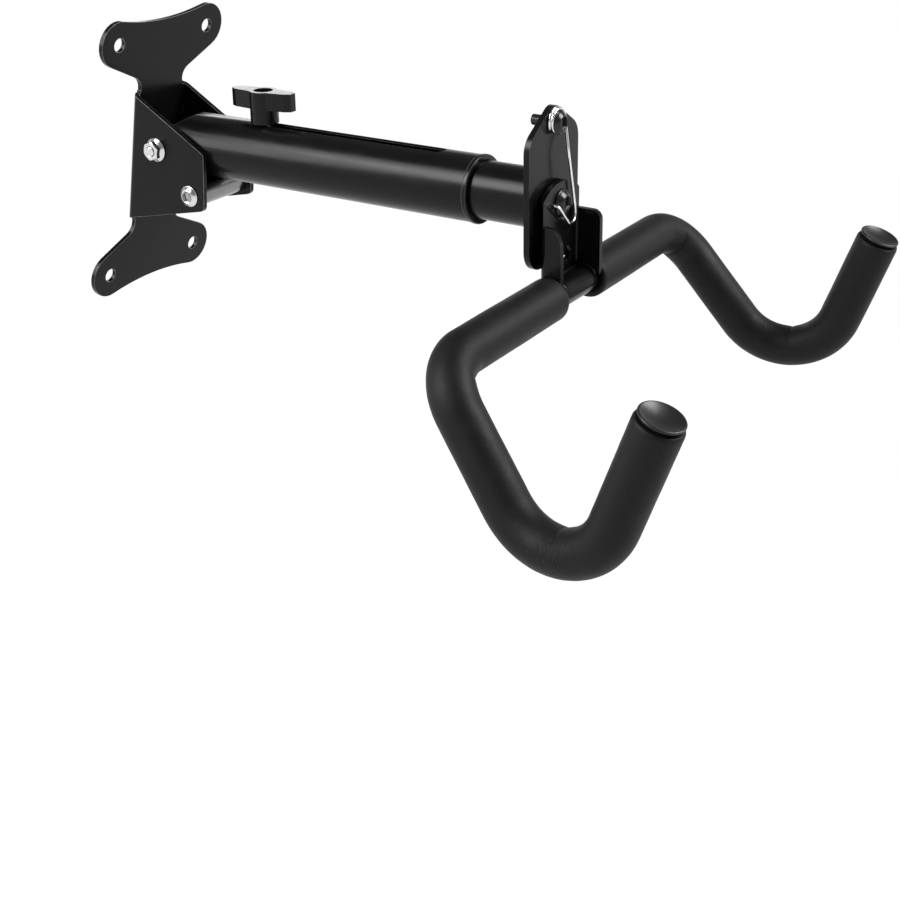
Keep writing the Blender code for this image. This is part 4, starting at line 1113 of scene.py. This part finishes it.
def foam_relief(bm, rows, folds):
    """Moves the sleeve's skin in and out, and marks how strained it is."""
    far = bm.verts.layers.float["along"]
    turn = bm.verts.layers.float["round"]
    strain = bm.verts.layers.float.new("strain")
    lengths = [row[3] for row in rows]
    bends = [bend_at(rows, index) for index in range(len(rows))]
    ways = [inward_way(bends, rows, fold) for fold in folds]
    for vert in bm.verts:
        index = min(bisect.bisect_left(lengths, vert[far] - 0.01 * MM), len(rows) - 1)
        point, across, sideways, length = rows[index]
        outward = across * math.cos(vert[turn]) + sideways * math.sin(vert[turn])
        offset = (vert.co - point).length
        if offset < FOAM - 0.7 * MM:
            continue
        lift = 0.1 * MM * noise.noise(point * 42 + outward * 0.8) + 0.05 * MM * noise.noise(vert.co * 180)
        tight = bends[index].length
        inward = outward.dot(bends[index]) / tight if tight > BENT else -1
        for fold, way, depth in zip(folds, ways, FOLD_DEPTHS):
            lift -= depth * eased(outward.dot(way), 0.15, 0.95) * fold_at(length - fold)
        vert.co = point + outward * (offset + lift)
        patchy = eased(noise.noise(vert.co * 40), -0.2, 0.3)
        vert[strain] = strain_at(length, folds) * eased(inward, -0.8, 0.2) * patchy
        vert[turn] = vert[turn] * WRINKLES_ROUND
    for vert in bm.verts:
        vert[far] = vert[far] / WRINKLE_PITCH


# %% [markdown]
# A sleeve is one closed skin: out over its end face, along its outside, in over the far end face and
# back through its bore. Its ends are cut square, with soft rims, which take three rings at each end.

# %% The foam sleeves
FOAM_START = 20.6 * MM
FOAM_BORE = 8.3 * MM
FOAM_RIMS = (10.9 * MM, 11.6 * MM)
FOAM_LAST_RIM = FOAM - 0.08 * MM
FOAM_SIDES = 64


def foam_sleeve(side, name, node):
    """One sleeve: its skin from end to end, then back along its bore, so that it is closed."""
    rows = stations(hook_line(side, FOAM_START, 1.3 * MM), (0, 0, 1))
    bm = bar_mesh()
    edges = ring_of(bm, rows[0], FOAM_BORE, FOAM_SIDES)
    first = list(edges)
    for radius in FOAM_RIMS:
        edges = ring_of(bm, rows[0], radius, FOAM_SIDES, edges)
    for index in range(1, len(rows) - 1):
        radius = FOAM_LAST_RIM if index in (1, len(rows) - 2) else FOAM
        edges = ring_of(bm, rows[index], radius, FOAM_SIDES, edges)
    for radius in (*FOAM_RIMS[::-1], FOAM_BORE):
        edges = ring_of(bm, rows[-1], radius, FOAM_SIDES, edges)
    for row in rows[-6:1:-5]:
        edges = ring_of(bm, row, FOAM_BORE, FOAM_SIDES, edges)
    bmesh.ops.bridge_loops(bm, edges=first + edges)
    bmesh.ops.recalc_face_normals(bm, faces=bm.faces)
    folds = folds_of(rows)
    foam_relief(bm, rows, folds)
    made = piece(name, bm, "hooks", "foam", node)
    print(name, "is %.0f mm long, its bends are at" % (rows[-1][3] / MM), [round(v / MM) for v in folds])


foam_sleeve(-1, "foam_sleeve_left", "foam_left")
foam_sleeve(1, "foam_sleeve_right", "foam_right")

# %% [markdown]
# A glossy plastic cap closes each end. Its face is dished, with a raised rim that is rounded on both
# sides, and a plug under it holds it in the bar. The side under the rim is cut in, so a dark groove
# runs round between the rim and the foam.

# %% The end caps
CAP_RADIUS = 11.3 * MM
CAP_RIM = 0.75 * MM
CAP_SINK = 2.1 * MM
PLUG = 6.2 * MM
PLUG_LENGTH = 9 * MM
PLUG_CHAMFER = 0.4 * MM


def cap_profile():
    """From the plug's foot, up an undercut to the rim, and into the dish."""
    profile = [(0, -PLUG_LENGTH), (PLUG - PLUG_CHAMFER, -PLUG_LENGTH), (PLUG, PLUG_CHAMFER - PLUG_LENGTH)]
    profile += [(PLUG, 0), (9.9 * MM, 0), (10 * MM, 0.15 * MM), (10.1 * MM, 0.9 * MM)]
    profile += bow(CAP_RIM, -50, 140, (CAP_RADIUS - CAP_RIM, CAP - CAP_RIM), 14)
    bowl, brim = profile[-1]
    radius = (bowl ** 2 + CAP_SINK ** 2) / (2 * CAP_SINK)
    lean = math.degrees(math.asin(bowl / radius))
    profile += bow(radius, -90 + lean, -90, (0, brim - CAP_SINK + radius), 14)[1:]
    return profile


for side, name, node in ((-1, "dished_cap_left", "end_cap_left"), (1, "dished_cap_right", "end_cap_right")):
    cap = turned(cap_profile(), 72)
    seat = hook_line(side, 0, BAR_PITCH)[-1] + TIP_WAY * SEAT_GAP
    cap.transform(facing(TIP_WAY, seat))
    piece(name, cap, "hooks", "gloss_plastic", node)

# %% [markdown]
# ## Welds
# The lock plate is welded to the inner tube all round, and the bar is welded into the saddle of the
# swivel bracket. A weld bead is a row of overlapping drops. Drops modelled one by one would never
# show at this size, so a bead is a thin bar whose radius ripples along its length, and the powder
# softens it.

# %% Helpers for weld beads
DROP = 1.6 * MM


def bead(name, points, upward, radius, body, is_ring=False):
    """A weld bead along a line, rippled by its drops and thin at both ends."""
    rows = stations(points, upward)
    radii = []
    for index, row in enumerate(rows):
        ripple = 1 + 0.09 * math.sin(math.tau * row[3] / DROP) + 0.1 * noise.noise(row[0] * 300)
        end = min(index, len(rows) - 1 - index)
        radii.append(radius * ripple * (1 if is_ring else min(1, 0.35 + 0.22 * end)))
    piece(name, drawn_bar(rows, radii, 12), body, "black_steel")


def circle_line(middle, across, up, radius, start, end, step):
    """Points on part of a circle, in degrees."""
    count = round(abs(end - start) / step)
    points = []
    for part in range(count + 1):
        angle = math.radians(start + (end - start) * part / count)
        points.append(middle + across * radius * math.cos(angle) + up * radius * math.sin(angle))
    return points


# %% The weld beads
ARM_UP = arm(0, 0, 1)
PLATE_FOOT = arm(0, 281.2 * MM, 0)
SADDLE = BAR_MIDDLE + OUT * (-3.2 * MM) + ARM_UP * 8.1 * MM

plate_ring = circle_line(PLATE_FOOT, Vector((1, 0, 0)), ARM_UP, 16.6 * MM, 0, 358, 1.5)
bead("weld_lock_plate", plate_ring, (0, 0, 1), 1.15 * MM, "extension", is_ring=True)
for side, name in ((-1, "weld_cheek_left"), (1, "weld_cheek_right")):
    place = BAR_MIDDLE + Vector((side * 16.4 * MM, 0, 0))
    bead(name, circle_line(place, OUT, ARM_UP, 8.6 * MM, 28, 128, 4), (1, 0, 0), 1.25 * MM, "hooks")
saddle_line = [SADDLE + Vector((across * MM, 0, 0)) for across in range(-15, 16)]
bead("weld_web", saddle_line, (0, 0, 1), 1.2 * MM, "hooks")
